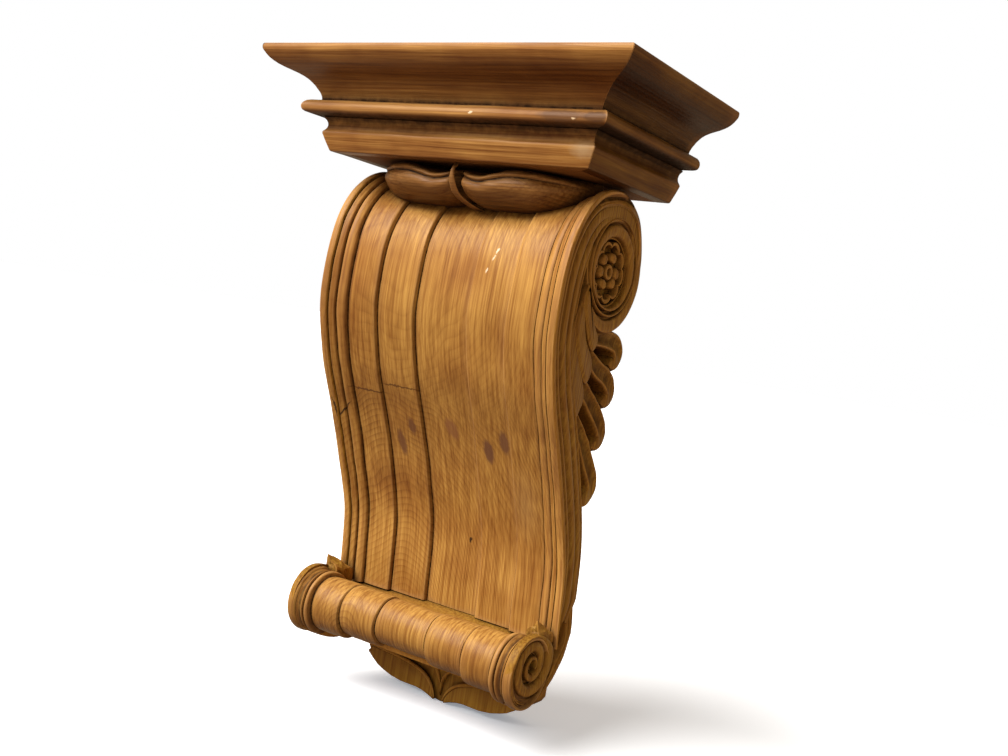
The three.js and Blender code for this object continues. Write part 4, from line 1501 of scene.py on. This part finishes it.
@dataclass
class Core:
    """The block behind the strap, flat on the wall, and the leaf at its foot."""

    node: str = "scroll_body"
    slot: str = "scroll_wood"
    tail_front: float = 42.0
    tail_top: float = 609.2
    heel_half: float = 132.0
    heel_round: float = 3.0
    strap_depth: float = 30.0
    # Half outlines as (x, distance down from the cornice's top)
    tail: tuple[Pair, ...] = (
        (108, 622), (108, 630), (104, 636), (96, 642), (88, 647), (80, 650), (68, 653.5),
        (54, 655.4), (42, 655.4), (32, 655.3), (24, 656.2), (15, 658.6), (7, 661.6), (0, 662.5),
    )
    lobe_edge: tuple[Pair, ...] = (
        (7, 660), (8.5, 655), (12, 649), (17.5, 643), (25, 638), (36, 634.4), (48, 632),
        (66, 630), (84, 629), (98, 629),
    )
    leaflet: tuple[Pair, ...] = (
        (0, 656), (2, 641.8), (7, 630.6), (19, 622.5), (40, 621.0), (40, 612), (0, 612),
    )

    def build(self) -> None:
        """Build the block, the heel's filling and the tail."""
        front = [
            STRAP_FRONT.aside(mix(0.18, 1.0, i / 30), -self.strap_depth) for i in range(31)
        ]
        foot = [side_point(120, 880), side_point(76, 905)]
        back = [Vector((-0.2, foot[1].y)), Vector((-0.2, SOFFIT_Z - FIT_GAP))]
        head = Vector((front[0].x, SOFFIT_Z - FIT_GAP))
        block = plate([head, *front, *foot, *back], -HALF_CORE, HALF_CORE)
        settle(block, "core_block", self.node, self.slot, SIDE_PINE)
        heel = [side_point(*point) for point in (
            (34, 722), (32, 745), (36, 770), (44, 798), (57, 822), (71, 842), (87, 866),
            (104, 885), (122, 897), (144, 902), (165, 900), (189, 896), (200, 860), (189, 824),
            (112, 825), (72, 812), (66, 730),
        )]
        filling = plate(heel, -self.heel_half, self.heel_half, self.heel_round)
        settle(filling, "heel", self.node, self.slot, SIDE_PINE)
        self.build_tail()

    def wall_plate(self, outline: Sequence[Pair], y0: float, y1: float,
                   round_by: float) -> bmesh.types.BMesh:
        """Make a plate that faces the front.

        Args:
            outline: Points (x, distance down), in order.
            y0: Its back.
            y1: Its front.
            round_by: Radius on the front edge.

        Returns:
            The plate as a mesh in mm.
        """
        points = [Vector((x, TOP_Z - down)) for x, down in outline]
        bm = plate(points, -y0, -y1, round_by)
        turn = Matrix(((0, 1, 0, 0), (-1, 0, 0, 0), (0, 0, 1, 0), (0, 0, 0, 1)))
        bmesh.ops.transform(bm, matrix=turn, verts=bm.verts)
        return bm

    def build_tail(self) -> None:
        """Build the tail leaf: a thick plate, two lobes on it and a leaflet between them."""
        ends = [(-x, down) for x, down in reversed(self.tail[:-1])]
        outline = [(108, self.tail_top), *self.tail, *ends, (-108, self.tail_top)]
        base = self.wall_plate(outline, -0.2, -self.tail_front + 4.5, 1.5)
        lobe = [*self.lobe_edge, (104, 634), *self.tail[2:-1]]
        lobes = self.wall_plate(lobe, -20.0, -self.tail_front, 2.4)
        add_mirrored(lobes)
        half = [(-x, down) for x, down in reversed(self.leaflet[1:-1])]
        leaf = self.wall_plate([*self.leaflet[:-1], *half], -20.0, -self.tail_front + 1.0, 2.0)
        ridges = merge_into(self.ridge(self.lobe_edge), self.ridge(self.leaflet[1:5]))
        add_mirrored(ridges)
        settle(merge_into(base, lobes, leaf, ridges), "tail_leaf", self.node, self.slot, SIDE_PINE)

    def ridge(self, line: Sequence[Pair]) -> bmesh.types.BMesh:
        """Raise the thin bead along a leaf's edge.

        Args:
            line: Points (x, distance down) along the edge.

        Returns:
            The bead as a mesh in mm.
        """
        track = Track([Vector(point) for point in line])

        def place(a: float, b: float, t: float) -> Vector:
            """Set a point of the bead, slim at both ends."""
            size = 1.9 * ease(t, -0.1, 0.2) * ease(1.0 - t, -0.1, 0.2)
            at = track.aside(t, 1.4 - a * size)
            return Vector((at.x, -self.tail_front + 0.2 - b * size, TOP_Z - at.y))

        return sweep([(cos(i / 8 * tau), sin(i / 8 * tau)) for i in range(8)], 40, place)


@dataclass
class Chips:
    """Rough wood left standing between strap and roll at both ends."""

    node: str = "scroll_body"
    slot: str = "scroll_wood"
    outline: tuple[Pair, ...] = ((118, 790), (116, 835), (172, 825), (168, 796), (160, 765))

    def build(self) -> None:
        """Build the two pointed webs, the left one leaning outwards."""
        both = bmesh.new()
        for side, lean in ((1, -4.0), (-1, 5.0)):
            points = [side_point(*point) for point in self.outline]
            web = plate(points, 125, 142)
            bmesh.ops.triangulate(web, faces=web.faces)
            bmesh.ops.subdivide_edges(web, edges=web.edges, cuts=7, use_grid_fill=True)
            foot, tip = points[0].y, points[-1].y
            for vert in web.verts:
                rise = ease(vert.co.z, foot, tip)
                vert.co.x = mix(vert.co.x, 138 + lean, rise * 0.92)
                vert.co += noise.noise_vector(vert.co / 9) * 1.8
                vert.co += noise.noise_vector(vert.co / 2.5) * 1.0
                vert.co.x *= side
            merge_into(both, web)
        settle(both, "chips", self.node, self.slot, SIDE_PINE, crease=20)


# Studio


@dataclass
class Studio:
    """Pale floor and backdrop, soft lights and the camera."""

    eye: Triple = (0.68823, -1.07492, 0.07931)
    right: Triple = (0.82420105, 0.54282576, 0.16134689)
    up: Triple = (-0.15735408, -0.05417128, 0.98605536)
    back: Triple = (0.54399662, -0.83809645, 0.04076783)
    lens: float = 41.249
    # Seen straight on, floor and backdrop stay white; what they throw on the wood is warmer
    white: str = "#ffffff"
    warm_sky: str = "#fff0da"
    warm_paper: str = "#b8a488"
    paper_glow: str = "#eff5ff"
    sky_strength: float = 0.36
    glow_strength: float = 0.3

    def build(self) -> None:
        """Build the floor, the lights and the camera."""
        self.build_floor()
        self.add_sun("key", (-0.75, -1.3, 1.45), 46.0, 5.5)
        self.add_light("fill", (1.6, -2.4, 0.9), 2.4, 3.0)
        world = bpy.data.worlds.new("pale studio")
        world.use_nodes = True
        tree = world.node_tree
        sky = tree.nodes["Background"]
        seen = add_node(tree, "LightPath").outputs["Is Camera Ray"]
        hue = add_node(
            tree, "Mix", {"data_type": "RGBA", "blend_type": "MIX"}, Factor=seen,
            in_6=linear(self.warm_sky), in_7=linear(self.white),
        ).outputs[2]
        tree.links.new(hue, sky.inputs["Color"])
        strength = add_node(tree, "MapRange", None, Value=seen, in_3=self.sky_strength, in_4=1.0)
        tree.links.new(strength.outputs[0], sky.inputs["Strength"])
        bpy.context.scene.world = world
        bpy.context.scene.view_settings.view_transform = "Standard"
        data = bpy.data.cameras.new("camera")
        data.lens = self.lens
        data.sensor_width = 36.0
        camera = bpy.data.objects.new("camera", data)
        axes = Matrix((self.right, self.up, self.back)).transposed()
        camera.matrix_world = Matrix.Translation(self.eye) @ axes.to_4x4()
        bpy.context.scene.collection.objects.link(camera)
        bpy.context.scene.camera = camera

    def build_floor(self) -> None:
        """Lay a plain pale floor under the piece."""
        bm = bmesh.new()
        bmesh.ops.create_grid(bm, x_segments=2, y_segments=2, size=30.0)
        bmesh.ops.translate(bm, vec=(0, 0, FLOOR_Z * MM), verts=bm.verts)
        mesh = bpy.data.meshes.new("floor")
        bm.to_mesh(mesh)
        bm.free()
        floor = bpy.data.objects.new("floor", mesh)
        bpy.context.scene.collection.objects.link(floor)
        paper = bpy.data.materials.new("matt white paper")
        paper.use_nodes = True
        shader = paper.node_tree.nodes["Principled BSDF"]
        seen = add_node(paper.node_tree, "LightPath").outputs["Is Camera Ray"]
        tint = add_node(
            paper.node_tree, "Mix", {"data_type": "RGBA", "blend_type": "MIX"}, Factor=seen,
            in_6=linear(self.warm_paper), in_7=linear(self.white),
        ).outputs[2]
        paper.node_tree.links.new(tint, shader.inputs["Base Color"])
        glow = add_node(
            paper.node_tree, "MapRange", None, Value=seen, in_3=0.0,
            in_4=self.glow_strength,
        ).outputs[0]
        shader.inputs["Emission Color"].default_value = linear(self.paper_glow)
        paper.node_tree.links.new(glow, shader.inputs["Emission Strength"])
        shader.inputs["Roughness"].default_value = 0.9
        mesh.materials.append(paper)

    def add_sun(self, name: str, place: Triple, spread: float, power: float) -> None:
        """Add a broad distant light, even over the floor.

        Args:
            name: The light's name.
            place: The direction that it comes from.
            spread: Its apparent width in degrees, which softens the shadows.
            power: Its power in watts per square metre.
        """
        data = bpy.data.lights.new(name, "SUN")
        data.angle = radians(spread)
        data.energy = power
        light = bpy.data.objects.new(name, data)
        light.matrix_world = Vector(place).to_track_quat("Z", "Y").to_matrix().to_4x4()
        bpy.context.scene.collection.objects.link(light)

    def add_light(self, name: str, place: Triple, size: float, power: float) -> None:
        """Add a soft square light that faces the piece.

        Args:
            name: The light's name.
            place: Where it stands, in metres.
            size: Its side length in metres.
            power: Its power in watts.
        """
        data = bpy.data.lights.new(name, "AREA")
        data.size = size
        data.energy = power
        light = bpy.data.objects.new(name, data)
        way = Vector(place)
        light.matrix_world = Matrix.Translation(way) @ way.to_track_quat("Z", "Y").to_matrix().to_4x4()
        bpy.context.scene.collection.objects.link(light)


def main() -> None:
    """Build every sub-assembly."""
    logging.basicConfig(level=logging.INFO, format="%(name)s: %(message)s")
    for assembly in (Cornice(), Necking(), Strap(), FrontRoll(), Volute(), SideLeaves(), Core(),
                     Chips(), Studio()):
        assembly.build()
        log.info("%s built", type(assembly).__name__)


if __name__ == "__main__":
    main()
